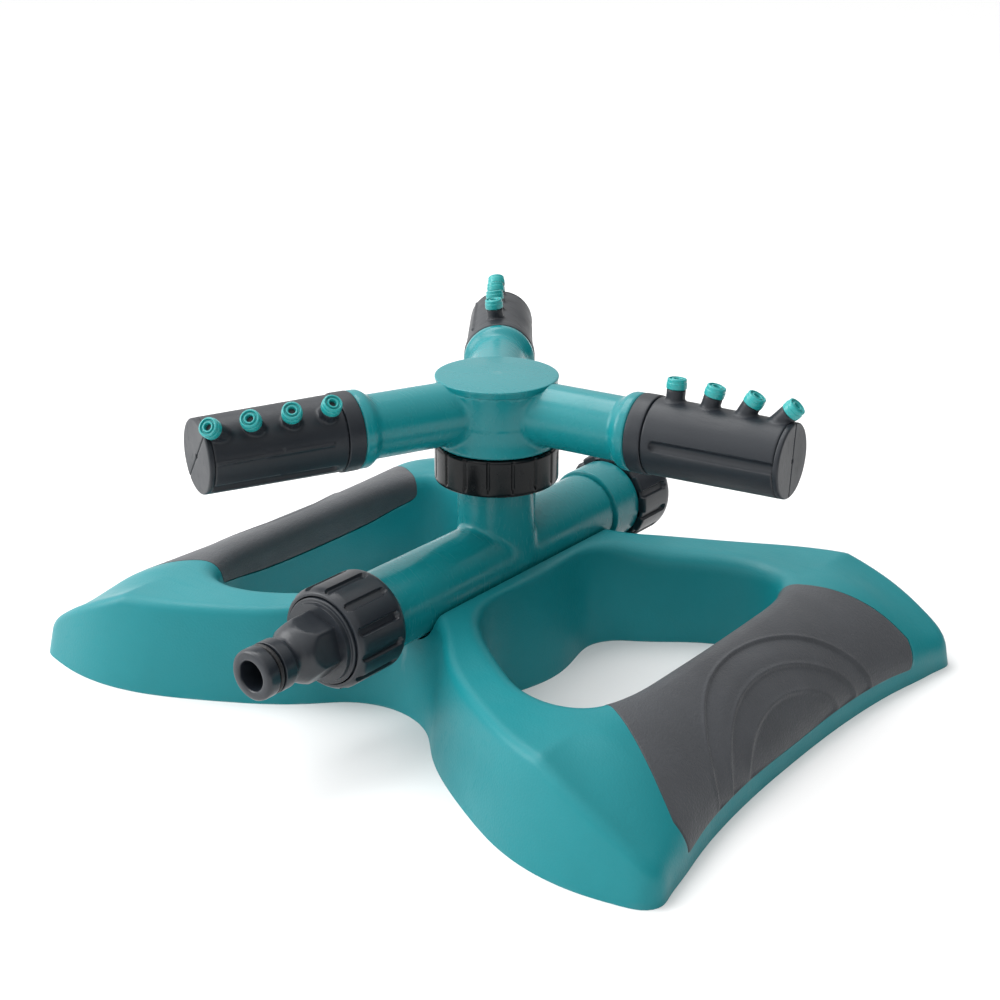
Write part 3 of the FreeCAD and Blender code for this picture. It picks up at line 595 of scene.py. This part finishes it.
def pad_place(along, across, inner_radius, outer_radius):
    """(spoke, station) for a place on half a grip: distances from its end and from its inner edge."""
    along, across = np.broadcast_arrays(np.asarray(along, float), np.asarray(across, float))
    a, b = rounded_corner(along, across, inner_radius)
    a, c = rounded_corner(a, PAD_WIDTH - b, outer_radius)
    b = PAD_WIDTH - c
    sag = 0.42 * np.sin(np.pi * np.clip(b / PAD_WIDTH, 0, 1)) * (1 - a / PAD_LENGTH)
    spoke = np.interp(a, SPOKE_RUN[1], SPOKE_RUN[0]) - sag
    to_end = 1 - a / PAD_LENGTH
    low = 0.76 + 0.17 * to_end ** 2
    high = 4.12 - 0.1 * to_end
    station = np.where(b < STATION_RUN[1], low + (1 - low) * b / STATION_RUN[1],
                       np.interp(b, STATION_RUN[1:5], [1, 2, 3, 4]))
    last = 4 + (high - 4) * (b - STATION_RUN[4]) / (PAD_WIDTH - STATION_RUN[4])
    return spoke, np.where(b > STATION_RUN[4], last, station)


def skin_normal(spoke, station):
    """Outward unit normals of the base's skin."""
    e = 0.01
    over = SKIN.at(spoke, np.minimum(station + e, 5)) - SKIN.at(spoke, np.maximum(station - e, 0))
    spoke = np.minimum(spoke, LAST_SPOKE - e)
    along = SKIN.at(spoke + e, station) - SKIN.at(spoke - e, station)
    normal = np.cross(along, over)
    return normal / np.linalg.norm(normal, axis=-1, keepdims=True)


def spaced(start, end, spacing):
    """Spokes from start to end, evenly spaced along the outer edge."""
    fine = np.linspace(start, end, 400)
    z = np.full(fine.shape, CREST)
    run = SKIN.loops(fine, z, True)
    length = np.concatenate([[0], np.cumsum(np.linalg.norm(np.diff(run, axis=0), axis=1))])
    count = max(2, int(round(length[-1] / spacing)))
    return np.interp(np.linspace(0, length[-1], count + 1), length, fine)


SPOKE_ROWS = np.concatenate([spaced(0.0, CORNER_SPOKE, 2.0), spaced(CORNER_SPOKE, CUT_SPOKE, 1.6)[1:],
                             spaced(CUT_SPOKE, LAST_SPOKE, 1.6)[1:]])
STATIONS = np.concatenate([[0, 0.02, 0.25, 0.45, CUT_LOW, 0.82], 1 + np.arange(9) / 9.0,
                           2 + np.arange(18) / 18.0, 3 + np.arange(8) / 8.0,
                           [4, 4.2, CUT_HIGH, 4.7, 4.98, 5]])


def nearest(values, target):
    return int(np.argmin(np.abs(values - target)))


def skin_quarter(skin, radii):
    """One quarter of a skin: points, faces, and the numbers of its ground edges' points.

    radii are the grip's inner and outer corner radii, or None where the skin has no recess.
    """
    rows, cols = len(STATIONS), len(SPOKE_ROWS)
    points = skin.at(SPOKE_ROWS[None, :], STATIONS[:, None]).reshape(-1, 3)
    corner, cut = nearest(SPOKE_ROWS, CORNER_SPOKE), nearest(SPOKE_ROWS, CUT_SPOKE)
    low, high, edge = (nearest(STATIONS, station) for station in (CUT_LOW, CUT_HIGH, 3.0))
    faces = quads(rows, cols)
    row, col = faces[:, 0] // cols, faces[:, 0] % cols
    keep = ~((row >= edge) & (col < corner))
    if radii:
        keep &= ~((col >= cut) & (row >= low) & (row < high))
    parts = [(points, [faces[keep]])]
    if radii:
        parts += recess(radii, cut, low, high)
    points, faces = join(parts)
    ground = (np.arange(cols), (rows - 1) * cols + np.arange(corner, cols))
    return points, faces, ground


def recess(radii, cut, low, high):
    """The skin round a grip, and the recess that the grip lies in."""
    spokes, stations = SPOKE_ROWS[cut:], STATIONS[low:high + 1]
    last = len(spokes) - 1
    path = [(s, stations[0]) for s in spokes[::-1]]
    path += [(spokes[0], v) for v in stations[1:]]
    path += [(s, stations[-1]) for s in spokes[1:]]
    rim = np.array(path)
    run = np.interp(spokes, *SPOKE_RUN) - np.interp(spokes[0], *SPOKE_RUN)
    along = np.interp(rim[:, 0], spokes, run / run[-1]) * PAD_LENGTH
    across = np.interp(rim[:, 1], [CUT_LOW, 1, 2, 3, 4, CUT_HIGH], STATION_RUN)
    edge = np.stack(pad_place(along, across, *radii), -1)
    steps = 6
    rings = [rim * (1 - t) + edge * t for t in np.linspace(0, 1, steps)]
    strip = np.concatenate([SKIN.at(r[:, 0], r[:, 1]) for r in rings])
    top = strip[-len(edge):]
    normal = skin_normal(edge[:, 0], edge[:, 1])
    lip = top - normal * LIP
    foot = top - normal * PAD_SINK
    walls = np.concatenate([top, lip, foot])
    a, b = np.meshgrid(np.linspace(0, PAD_LENGTH, last + 1), across[last:len(rim) - last], indexing="ij")
    place = pad_place(a, b, *radii)
    floor = SKIN.at(*place) - skin_normal(*place) * PAD_SINK
    return [(strip, [quads(steps, len(rim))]), (walls, [quads(3, len(rim))]),
            (floor.reshape(-1, 3), [quads(last + 1, len(stations))])]


def make_base():
    """The winged base: four quarters of outer skin, their lining, and the rim on the ground."""
    shells = []
    for y_side, radii in ((-1, NEAR_CORNERS), (1, FAR_CORNERS)):
        outer, outer_faces, ground = skin_quarter(SKIN, radii)
        lining, lining_faces, _ = skin_quarter(LINING, None)
        points, faces = join([(outer, outer_faces), (lining, lining_faces)])
        for loop in ground:
            a, b = loop[:-1], loop[1:]
            faces.append(np.stack([a, b, b + len(outer), a + len(outer)], -1))
        for x_side in (-1, 1):
            shells.append((points * np.array([x_side, y_side, 1.0]), faces))
    points, faces = join(shells)
    piece = add_mesh("base", points, faces, TEAL, "base", ["base_shell"])
    weld(piece, 0.02)
    cut_trough(piece)


ARC_R = 58.0                # the grips' raised arcs, with each one's crest and half its length
ARCS = ((94.0, 50.0), (103.6, 37.0), (110.4, 25.0))


def pad_relief(x, y):
    """How far a grip's surface stands out: three nested arcs, open to the outer edge."""
    height = np.zeros(x.shape)
    for crest, reach in ARCS:
        away = np.hypot(np.abs(x) - crest - ARC_R, y + 1.0) - ARC_R
        fade = 1 - smoothstep((np.abs(y + 1.0) - reach) / 8.0)
        ridge = 0.34 * np.exp(-(away / 0.55) ** 2)
        terrace = -0.55 * smoothstep(-away / 0.7) * (1 - smoothstep(-away / 7.0))
        height += fade * (ridge + terrace)
    return height


def make_pad(side, name, stands_for):
    """A soft grip, laid into the base's recess, with its edge rolled down into the seam."""
    edge_steps = np.array([0.0, 0.18, 0.4, 0.75])
    across = np.concatenate([edge_steps, np.linspace(1.3, PAD_WIDTH - 1.3, 100),
                             PAD_WIDTH - edge_steps[::-1]])
    halves = []
    for y_side, radii in ((-1, NEAR_CORNERS), (1, FAR_CORNERS)):
        along = np.concatenate([edge_steps, np.linspace(1.3, PAD_LENGTH, 126)])
        a, b = np.meshgrid(along, across, indexing="ij")
        inner = (SEAM + a * (1 - SEAM / PAD_LENGTH), SEAM + b * (1 - 2 * SEAM / PAD_WIDTH))
        place = pad_place(*inner, *radii)
        base, normal = SKIN.at(*place), skin_normal(*place)
        from_edge = np.minimum(np.minimum(a, b), PAD_WIDTH - b)
        rise = 0.12 - 0.5 * (1 - np.clip(from_edge / 0.75, 0, 1)) ** 2.2
        rise = rise + pad_relief(base[..., 0], base[..., 1] * y_side) * smoothstep((from_edge - 1.0) / 2.0)
        top = base + normal * rise[..., None]
        rows, cols = a.shape
        border = np.concatenate([np.arange(rows - 1, 0, -1) * cols, np.arange(cols),
                                 np.arange(1, rows) * cols + cols - 1])
        flat, deep = top.reshape(-1, 3), base - normal * (PAD_SINK - 0.05)
        skirt = np.concatenate([flat[border], deep.reshape(-1, 3)[border]])
        some_rows, some_cols = (np.append(np.arange(0, n - 1, 8), n - 1) for n in (rows, cols))
        sheet = deep[np.ix_(some_rows, some_cols)].reshape(-1, 3)
        parts = [(flat, [quads(rows, cols)]), (skirt, [quads(2, len(border))]),
                 (sheet, [quads(len(some_rows), len(some_cols))])]
        points, faces = join(parts)
        halves.append((points * np.array([side, y_side, 1.0]), faces))
    points, faces = join(halves)
    piece = add_mesh(name, points, faces, RUBBER, "base", [stands_for])
    weld(piece)


def cut_trough(piece):
    """Cut the trough that the water tube lies in, and keep its edges crisp."""
    points, faces = lathe(np.array([(TROUGH_R, -75.0), (TROUGH_R, 75.0)]), 128)
    cutter = link_mesh("cutter", *in_metres(along_tube(points), faces))
    cut = piece.modifiers.new("trough", "BOOLEAN")
    cut.operation = "DIFFERENCE"
    cut.solver = "EXACT"
    cut.object = cutter
    shape = bpy.data.meshes.new_from_object(piece.evaluated_get(bpy.context.evaluated_depsgraph_get()))
    piece.modifiers.clear()
    bpy.data.objects.remove(cutter)
    shape.name = "base"
    piece.data = shape
    shape.polygons.foreach_set("use_smooth", [True] * len(shape.polygons))
    shape.set_sharp_from_angle(angle=math.radians(50))


def box_points(low, high):
    """A box between two corners, as points and faces."""
    corners = np.array([(x, y, z) for x in (low[0], high[0]) for y in (low[1], high[1])
                        for z in (low[2], high[2])])
    faces = np.array([(0, 1, 3, 2), (4, 6, 7, 5), (0, 4, 5, 1), (2, 3, 7, 6), (0, 2, 6, 4), (1, 5, 7, 3)])
    return corners, [faces]


RIB = 2.0                   # thickness of the ribs under the trough


def make_ribs():
    """The crossing ribs and the screw bosses under the tube's trough."""
    roof = TUBE_Z - SADDLE_R - 1.5
    half = RIB / 2
    parts = [box_points((-17.5, -half, 0.0), (17.5, half, roof)),
             box_points((-half, -45.0, 0.0), (half, 45.0, roof))]
    boss = rounded([(1.7, 22.2), (6.3, 22.2, 0.8), (6.3, 26.0), (1.7, 26.0), (1.7, 22.2)])
    points, faces = lathe(boss, 48)
    for x in (-10.0, 10.0):
        for y in (-30.0, 30.0):
            parts.append((turn(points, ALONG_Z, (x, y, 0)), faces))
    points, faces = join(parts)
    add_mesh("base_ribs", points, faces, TEAL, "base", (), 40)


# ---- water tee, collar, nuts and nipple ----
RUN_MIDDLE, RUN_HALF = -6.0, 57.0       # the run's plain length
RISER_TOP = 71.0
BORE_R = 9.5
THREAD_ROOT = 12.1
THREAD_DEPTH = 1.1
INLET_TIP, OUTLET_TIP = -73.0, 78.5
INLET_PROFILE = [(BORE_R, -64.0), (BORE_R, INLET_TIP, 0.3), (11.6, INLET_TIP, 0.4), (THREAD_ROOT, -72.2, 0.2),
                 (THREAD_ROOT, -62.6, 0.1), (BORE_R, -62.6)]
OUTLET_PROFILE = [(BORE_R, 51.0), (12.5, 51.0, 0.1), (12.5, 51.75, 0.15), (14.4, 52.0, 0.5),
                  (14.4, 65.6, 0.5), (THREAD_ROOT, 65.6, 0.2), (THREAD_ROOT, 77.9, 0.3),
                  (11.6, OUTLET_TIP, 0.3), (BORE_R, OUTLET_TIP)]
NUT_GROOVES = 12
COLLAR_GROOVES = 16
FIRST_COLLAR_GROOVE = math.radians(-59.3)
HEX_HALF = 9.3                          # half the nipple's width across its spanner flats


def thread(tip, shoulder):
    """A helical thread from a tube's tip to its shoulder, which fades out at both ends."""
    outward = math.copysign(1.0, tip)

    def shaped(radius, station, angle):
        share = np.mod(station / PITCH - angle / (2 * math.pi), 1.0)
        crest = smoothstep((0.4 - np.abs(share - 0.5)) / 0.25)
        fade = smoothstep((tip - station) * outward / 1.6) * smoothstep((station - shoulder) * outward / 0.8)
        on_root = (radius > 11.0) & (radius < THREAD_ROOT + 0.1)
        return np.where(on_root, radius + THREAD_DEPTH * crest * fade, radius)
    return shaped


def make_tee():
    """The water tee: its run and riser in one skin, then its two threaded ends, one with a raised band."""
    def field(x, y, z):
        run = soft_max(np.hypot(x, z - TUBE_Z) - TUBE_R, np.abs(y - RUN_MIDDLE) - RUN_HALF, 0.5)
        riser = soft_max(np.hypot(x, y) - RISER_R, np.maximum(z - RISER_TOP, TUBE_Z - z), 0.3)
        return soft_min(run, riser, 1.6)

    parts = [net(field, (-15, -64.5, 24), (15, 52.5, 72), 0.74)]
    for profile, tip, shoulder in ((INLET_PROFILE, INLET_TIP, -64.2), (OUTLET_PROFILE, OUTLET_TIP, 66.4)):
        points, faces = lathe(rounded(profile, 0.36, 3), 128, thread(tip, shoulder))
        parts.append((along_tube(points), faces))
    points, faces = join(parts)
    add_mesh("water_tee", points, faces, TEAL_GLOSS, "base", ["tee_body"], 45)


def slots(count, half_width, depth, start, end, phase, slope=0.34, rim=14.9):
    """Round-ended grip grooves in what lies outside a radius, the rim, between two stations."""
    def shaped(radius, station, angle):
        lateral = (np.mod(angle * count / (2 * math.pi) + phase, 1.0) - 0.5) * 2 * math.pi / count * radius
        beyond = np.maximum(np.maximum(start - station, station - end), 0.0)
        away = np.hypot(lateral, beyond)
        return np.where(radius > rim, radius - depth * (1 - smoothstep((away - half_width) / slope)), radius)
    return shaped


def make_collar():
    """The collar at the riser's top, with narrow grooves that run out through its upper edge."""
    profile = rounded([(16.55, 76.6), (16.55, 66.7, 0.4), (20.7, 66.7, 0.9), (20.7, 79.0, 0.9),
                       (10.0, 79.0, 0.4), (10.0, 76.6, 0.2), (16.55, 76.6)], 0.8, 4)
    phase = 0.5 - FIRST_COLLAR_GROOVE * COLLAR_GROOVES / (2 * math.pi)
    grooves = slots(COLLAR_GROOVES, 0.22, 0.6, 68.9, 90.0, phase, 0.5, 18.5)
    points, faces = lathe(profile, COLLAR_GROOVES * 32, grooves)
    add_mesh("collar", turn(points, ALONG_Z), faces, BLACK_GLOSS, "base", ["collar_nut"], 45)


def make_inlet_nut():
    """The ribbed nut that draws the hose nipple onto the tube."""
    nut = rounded([(13.35, -77.5), (13.35, -64.6, 0.3), (15.4, -64.6, 0.8), (16.5, -66.3, 0.8),
                   (16.5, -83.7, 0.9), (15.2, -85.6, 0.5), (14.25, -85.6, 0.2), (14.25, -79.5, 0.2),
                   (10.3, -79.5, 0.2), (10.3, -77.5, 0.2), (13.35, -77.5)], 0.62, 3)
    points, faces = lathe(nut, NUT_GROOVES * 36, slots(NUT_GROOVES, 1.15, 1.15, -83.4, -69.0, 0.3))
    add_mesh("inlet_ring_nut", along_tube(points), faces, BLACK, "inlet_nut", ["inlet_nut"], 45)


def make_nipple():
    """The hose nipple: its nose, O-ring groove, neck, spanner flats and flange, with the bore inside."""
    bore = [(7.5, -75.2), (7.5, -92.0, 0.5), (4.7, -96.0, 0.5), (4.7, -115.9, 0.8)]
    nose = [(8.0, -115.9, 1.7), (8.0, -111.4, 0.25), (6.4, -111.4, 0.3), (6.4, -108.8, 0.3),
            (8.0, -108.8, 0.25), (8.0, -104.4, 0.6)]
    neck = [(6.6, -103.2, 0.5), (6.2, -102.0, 0.5), (6.5, -101.1, 0.3), (8.0, -99.8, 0.5),
            (9.0, -98.4, 0.5), (9.7, -97.0, 0.5)]
    spanner = [(10.6, -94.9, 0.5), (10.6, -88.2, 0.3)]
    flange = [(12.6, -88.2, 0.4), (12.6, -86.4, 0.3), (13.9, -86.4, 0.5), (13.9, -79.7, 0.3),
              (10.1, -79.7, 0.3)]
    clip_groove = [(10.1, -77.35, 0.1), (9.1, -77.35, 0.1), (9.1, -76.1, 0.1), (10.1, -76.1, 0.1)]
    end = [(10.1, -75.2, 0.1), (7.5, -75.2)]
    profile = rounded(bore + nose + neck + spanner + flange + clip_groove + end, 0.9, 3)

    def flats(radius, station, angle):
        flat = HEX_HALF / np.cos(np.mod(angle + math.radians(15), math.pi / 3) - math.pi / 6)
        on_hexagon = (station > -98.0) & (station < -88.1) & (radius > 8.2)
        return np.where(on_hexagon, soft_min(radius, flat, 0.35), radius)

    points, faces = lathe(profile, 216, flats)
    add_mesh("hose_nipple", along_tube(points), faces, BLACK, "inlet", ["inlet_nipple"], 40)


def make_outlet_cap():
    """The ribbed cap that closes the tube's far end."""
    mouth = [(13.35, 80.9), (13.35, 66.0, 0.2), (16.3, 66.0, 0.5), (16.8, 66.6, 0.5)]
    closed_end = [(16.8, 82.0, 1.4), (15.2, 84.2, 1.2), (0.0, 84.2)]
    inside = rounded([(0.0, 80.9), (13.35, 80.9)], 2.0)[:-1]
    profile = np.concatenate([inside, rounded(mouth + closed_end, 0.7, 3)])
    points, faces = lathe(profile, NUT_GROOVES * 36, slots(NUT_GROOVES, 1.15, 1.1, 60.0, 78.6, 0.1))
    add_mesh("end_plug_cap", along_tube(points), faces, BLACK, "outlet_cap", ["outlet_cap"], 45)


# ---- rotor ----
WAIST_R, WAIST_Z = 18.55, 88.0
HUB_FOOT, HUB_TOP = 79.3, 100.1
SEAM_Z = 88.3                           # the hub's fine moulding line
ARM_R = 10.4
ARM_FLARE_START, ARM_END = 45.6, 52.6   # the arm's flared end, from the hub's axis
SPIGOT_R, SPIGOT_END = 8.6, 69.6


def hub_field(x, y, z):
    """The waisted hub, its three arms with their flared ends, and the spigots that the heads turn on."""
    r = np.hypot(x, y)
    up = np.clip((z - WAIST_Z) / 12.0, 0, 1)
    down = np.clip((WAIST_Z - z) / 8.0, 0, 1)
    waist = WAIST_R + 1.45 * up ** 2.2 + 1.2 * down ** 2.4 + 0.14 * smoothstep((z - SEAM_Z) / 0.3)
    solid = soft_max(r - waist, HUB_FOOT - z, 0.5)
    solid = np.maximum(solid, z - HUB_TOP)
    for degrees in ARM_HEADINGS.values():
        heading = math.radians(degrees)
        s = x * math.cos(heading) + y * math.sin(heading)
        t = -x * math.sin(heading) + y * math.cos(heading)
        rho = np.hypot(t, z - ARM_Z)
        flare = ARM_R + 2.2 * smoothstep((s - ARM_FLARE_START) / 4.4)
        arm = soft_max((rho - flare) / 1.08, np.maximum(s - ARM_END, -s), 0.6)
        spigot = np.maximum(rho - SPIGOT_R, np.maximum(s - SPIGOT_END, 40.0 - s))
        solid = soft_min(solid, np.minimum(arm, spigot), 1.3)
    return solid


def make_hub():
    """The hub and arms in one skin, and the disc on top."""
    points, faces = net(hub_field, (-45, -66, 78.5), (72, 58, 105.5), 0.66)
    add_mesh("rotor_hub_skin", points, faces, TEAL_GLOSS, "rotor", ["rotor_hub"])
    disc = rounded([(0.0, 100.0), (19.95, 100.0), (20.4, 101.7, 0.2), (20.4, 102.2, 0.25),
                    (19.9, 102.35, 0.2), (10.0, 102.75, 3.0), (0.0, 102.88)], 1.2)
    points, faces = lathe(disc, 160)
    add_mesh("hub_disc", turn(points, ALONG_Z), faces, TEAL_GLOSS, "rotor", ["hub_cap"], 50)


# ---- nozzle heads ----
BARREL_START, BARREL_END = 58.45, 101.8
BARREL_R = 12.35
FLUTE_R = 1.85
FLUTE_START = 63.0
LINE_ANGLE = math.radians(45)           # from the nozzles round to the raised line
LINE_R = 0.55
STALK_R = 2.98


def barrel_field(x, y, z):
    """A barrel along X: a flute down each side, a raised line, and four jets' stalks with soft roots."""
    rho = np.hypot(y, z)
    radius = BARREL_R - 0.5 * (x - 58.5) / 43.3
    solid = soft_max(rho - radius, np.maximum(BARREL_START - x, x - BARREL_END), 0.4)
    across = y * math.cos(LINE_ANGLE) - z * math.sin(LINE_ANGLE)
    line = np.maximum(np.hypot(across, rho - radius - 0.08) - LINE_R, np.maximum(63.5 - x, x - 101.6))
    solid = soft_min(solid, np.where(y > 0, line, 9.0), 0.2)
    for side in (-1, 1):
        beyond = np.maximum(FLUTE_START - x, 0.0)
        flute = np.sqrt((y - side * (radius + 0.45)) ** 2 + (z + 0.5) ** 2 + beyond ** 2) - FLUTE_R
        solid = soft_max(solid, -flute, 0.12)
    for start, lean, length in NOZZLES:
        a = math.radians(lean)
        up = (x - start) * math.sin(a) + z * math.cos(a)
        away = np.hypot((x - start) * math.cos(a) - z * math.sin(a), y)
        stalk = soft_max(away - STALK_R, np.maximum(up - (length - TIP_LENGTH - 0.05), 8.0 - up), 0.4)
        neck = np.maximum(away - 2.5, np.maximum(up - (length - 1.4), 8.0 - up))
        solid = soft_min(solid, np.minimum(stalk, neck), 1.0)
    return solid


def end_cap_field(x, y, z):
    """A barrel's end cap: a disc with a fine line across its face and a dimple in the middle."""
    rho = np.hypot(y, z)
    disc = soft_max(rho - 11.82, x - 103.58, 0.7)
    disc = soft_max(disc, 101.88 - x, 0.25)
    line = np.maximum(np.abs(y) - 0.22, 103.15 - x)
    dimple = np.maximum(rho - 0.75, 102.9 - x)
    return soft_max(disc, -np.minimum(line, dimple), 0.12)


def tip_profile(length):
    """A nozzle tip's ring, stepped face and drilling, with its face at a distance from the barrel's axis."""
    low = length - TIP_LENGTH
    return rounded([(2.6, low), (3.2, low, 0.25), (3.23, length - 1.5, 0.1), (3.05, length - 1.35, 0.1),
                    (3.05, length - 0.2, 0.3), (2.45, length, 0.2), (2.3, length - 0.7, 0.15),
                    (1.85, length - 0.75, 0.1), (1.7, length - 0.1, 0.2), (1.2, length - 0.15, 0.2),
                    (1.05, length - 1.1, 0.2), (1.0, length - 3.2, 0.1), (0.0, length - 3.2)], 0.6, 3)


def nozzle_tips():
    """The four tips of a head that lies along X."""
    tips = []
    for start, lean, length in NOZZLES:
        points, faces = lathe(tip_profile(length), 44)
        a = math.radians(lean)
        axes = ((math.sin(a), 0, math.cos(a)), (math.cos(a), 0, -math.sin(a)), (0, 1, 0))
        tips.append((turn(points, axes, (start, 0, 0)), faces))
    return join(tips)


def make_heads():
    """Three heads from one set of meshes, each turned to its own lean and arm."""
    ring = rounded([(8.66, 52.75), (12.75, 52.75, 0.5), (12.75, 58.3, 0.5), (10.5, 58.3, 0.2),
                    (10.5, 67.0, 0.3), (8.66, 67.0), (8.66, 52.75)], 1.6, 4)
    barrel = net(barrel_field, (57, -14, -14), (106, 14, 24), 0.5)
    end_cap = net(end_cap_field, (101, -12.6, -12.6), (104.2, 12.6, 12.6), 0.34)
    shapes = {"barrel": (*barrel, CHARCOAL, None), "head_ring": (*lathe(ring, 112), CHARCOAL, 45),
              "end_cap": (*end_cap, CHARCOAL, None), "nozzle_tips": (*nozzle_tips(), TIP_TEAL, 45)}
    for heading, degrees in ARM_HEADINGS.items():
        place = Matrix.Translation((0, 0, ARM_Z * MM)) @ Matrix.Rotation(math.radians(degrees), 4, "Z")
        place = np.array(place @ Matrix.Rotation(math.radians(-HEAD_LEANS[heading]), 4, "X"))
        for name, (points, faces, material, sharp) in shapes.items():
            moved = points @ place[:3, :3].T + place[:3, 3] / MM
            add_mesh(heading + "_" + name, moved, faces, material, "head_" + heading,
                     [name + "_" + heading], sharp)


# ---- CAD nodes that stay, with their finishes ----
KEPT = {"riser_seal": SEAL, "thrust_washer": ACETAL, "nipple_clip": ACETAL, "inlet_washer": SEAL,
        "nipple_o_ring": SEAL, "outlet_washer": SEAL, "spindle": ACETAL, "spindle_o_ring": SEAL,
        "arm_seal_right": SEAL, "arm_seal_back": SEAL, "arm_seal_left": SEAL, "tee_screws": STEEL}


def finish_kept_nodes():
    for name, material in KEPT.items():
        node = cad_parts[name]
        node.data.materials.clear()
        node.data.materials.append(material)


# ---- stage ----
def make_camera():
    """The camera at the photograph's place: beyond the right front corner, looking down."""
    data = bpy.data.cameras.new("Camera")
    data.lens = 61.56
    data.sensor_width = 36.0
    data.clip_start = 0.01
    camera = bpy.data.objects.new("Camera", data)
    bpy.context.scene.collection.objects.link(camera)
    bpy.context.scene.camera = camera
    azimuth, down, roll = math.radians(37.94), math.radians(21.45), math.radians(0.17)
    camera.location = (0.33005, -0.42144, 0.26843)
    level = Vector((math.cos(azimuth), math.sin(azimuth), 0))
    ahead = Vector((-math.sin(azimuth), math.cos(azimuth), 0))
    forward = ahead * math.cos(down) - Vector((0, 0, math.sin(down)))
    up = level.cross(forward)
    right = level * math.cos(roll) + up * math.sin(roll)
    up = right.cross(forward)
    camera.rotation_euler = Matrix((right, up, -forward)).transposed().to_euler()


def add_softbox(name, location, target, size, power, size_y=None):
    light = bpy.data.lights.new(name, "AREA")
    light.energy = power
    light.shape = "RECTANGLE"
    light.size = size
    light.size_y = size_y or size
    lamp = bpy.data.objects.new(name, light)
    lamp.location = location
    lamp.rotation_euler = (Vector(target) - Vector(location)).to_track_quat("-Z", "Y").to_euler()
    bpy.context.scene.collection.objects.link(lamp)


BRIGHT_SIDE = (-0.55, -0.30, 0.85)       # the studio is brightest overhead and to the left
BRIGHTEST = 1.75
FLOOR_HALF = 6.0
WALL_R, WALL_TOP = 5.9, 9.0


def make_floor():
    """A pale paper floor."""
    corners = [(x * FLOOR_HALF, y * FLOOR_HALF, 0) for x, y in ((-1, -1), (1, -1), (1, 1), (-1, 1))]
    floor = link_mesh("Floor", corners, [(0, 1, 2, 3)])
    paper = Nodes("pale_floor")
    paper.set(Base_Color=(0.86, 0.86, 0.86, 1.0), Roughness=0.9)
    floor.data.materials.append(paper.material)


def make_backdrop():
    """A white paper wall all round: it shows behind the object and takes no light from the studio."""
    steps = 128
    turns = [2 * math.pi * i / steps for i in range(steps)]
    points = [(WALL_R * math.cos(a), WALL_R * math.sin(a), z) for z in (0.0, WALL_TOP) for a in turns]
    faces = [(i, (i + 1) % steps, steps + (i + 1) % steps, steps + i) for i in range(steps)]
    wall = link_mesh("Backdrop", points, faces)
    paper = Nodes("backdrop_paper")
    paper.set(Emission_Color=(1.0, 1.0, 1.0, 1.0), Emission_Strength=1.0, Specular_IOR_Level=0.0)
    wall.data.materials.append(paper.material)
    for rays in ("diffuse", "glossy", "transmission", "shadow"):
        setattr(wall, "visible_" + rays, False)


def make_world():
    """Soft white light from all round, which falls away from the bright side."""
    world = bpy.data.worlds.new("World")
    world.use_nodes = True
    tree = world.node_tree
    direction = tree.nodes.new("ShaderNodeTexCoord")
    toward = tree.nodes.new("ShaderNodeVectorMath")
    toward.operation = "DOT_PRODUCT"
    toward.inputs[1].default_value = Vector(BRIGHT_SIDE).normalized()
    ramp = tree.nodes.new("ShaderNodeMapRange")
    for key, value in (("From Min", -0.35), ("From Max", 1.0), ("To Min", 0.0), ("To Max", BRIGHTEST)):
        ramp.inputs[key].default_value = value
    background = tree.nodes["Background"]
    background.inputs["Color"].default_value = (1.0, 1.0, 1.0, 1.0)
    tree.links.new(direction.outputs["Generated"], toward.inputs[0])
    tree.links.new(toward.outputs["Value"], ramp.inputs["Value"])
    tree.links.new(ramp.outputs[0], background.inputs["Strength"])
    bpy.context.scene.world = world


def make_stage():
    """The floor, backdrop and lights."""
    make_floor()
    make_backdrop()
    make_world()
    bpy.context.scene.view_settings.view_transform = "Standard"
    add_softbox("Overhead", (-0.45, 0.05, 1.0), (0, 0, 0.03), 0.9, 5.0, 0.45)
    add_softbox("LeftKey", (-0.85, -0.65, 0.60), (0, 0, 0.04), 0.7, 7.0)


make_base()
make_pad(1, "right_grip", "grip_pad_right")
make_pad(-1, "left_grip", "grip_pad_left")
make_ribs()
make_tee()
make_collar()
make_inlet_nut()
make_nipple()
make_outlet_cap()
make_hub()
make_heads()
finish_kept_nodes()
make_camera()
make_stage()
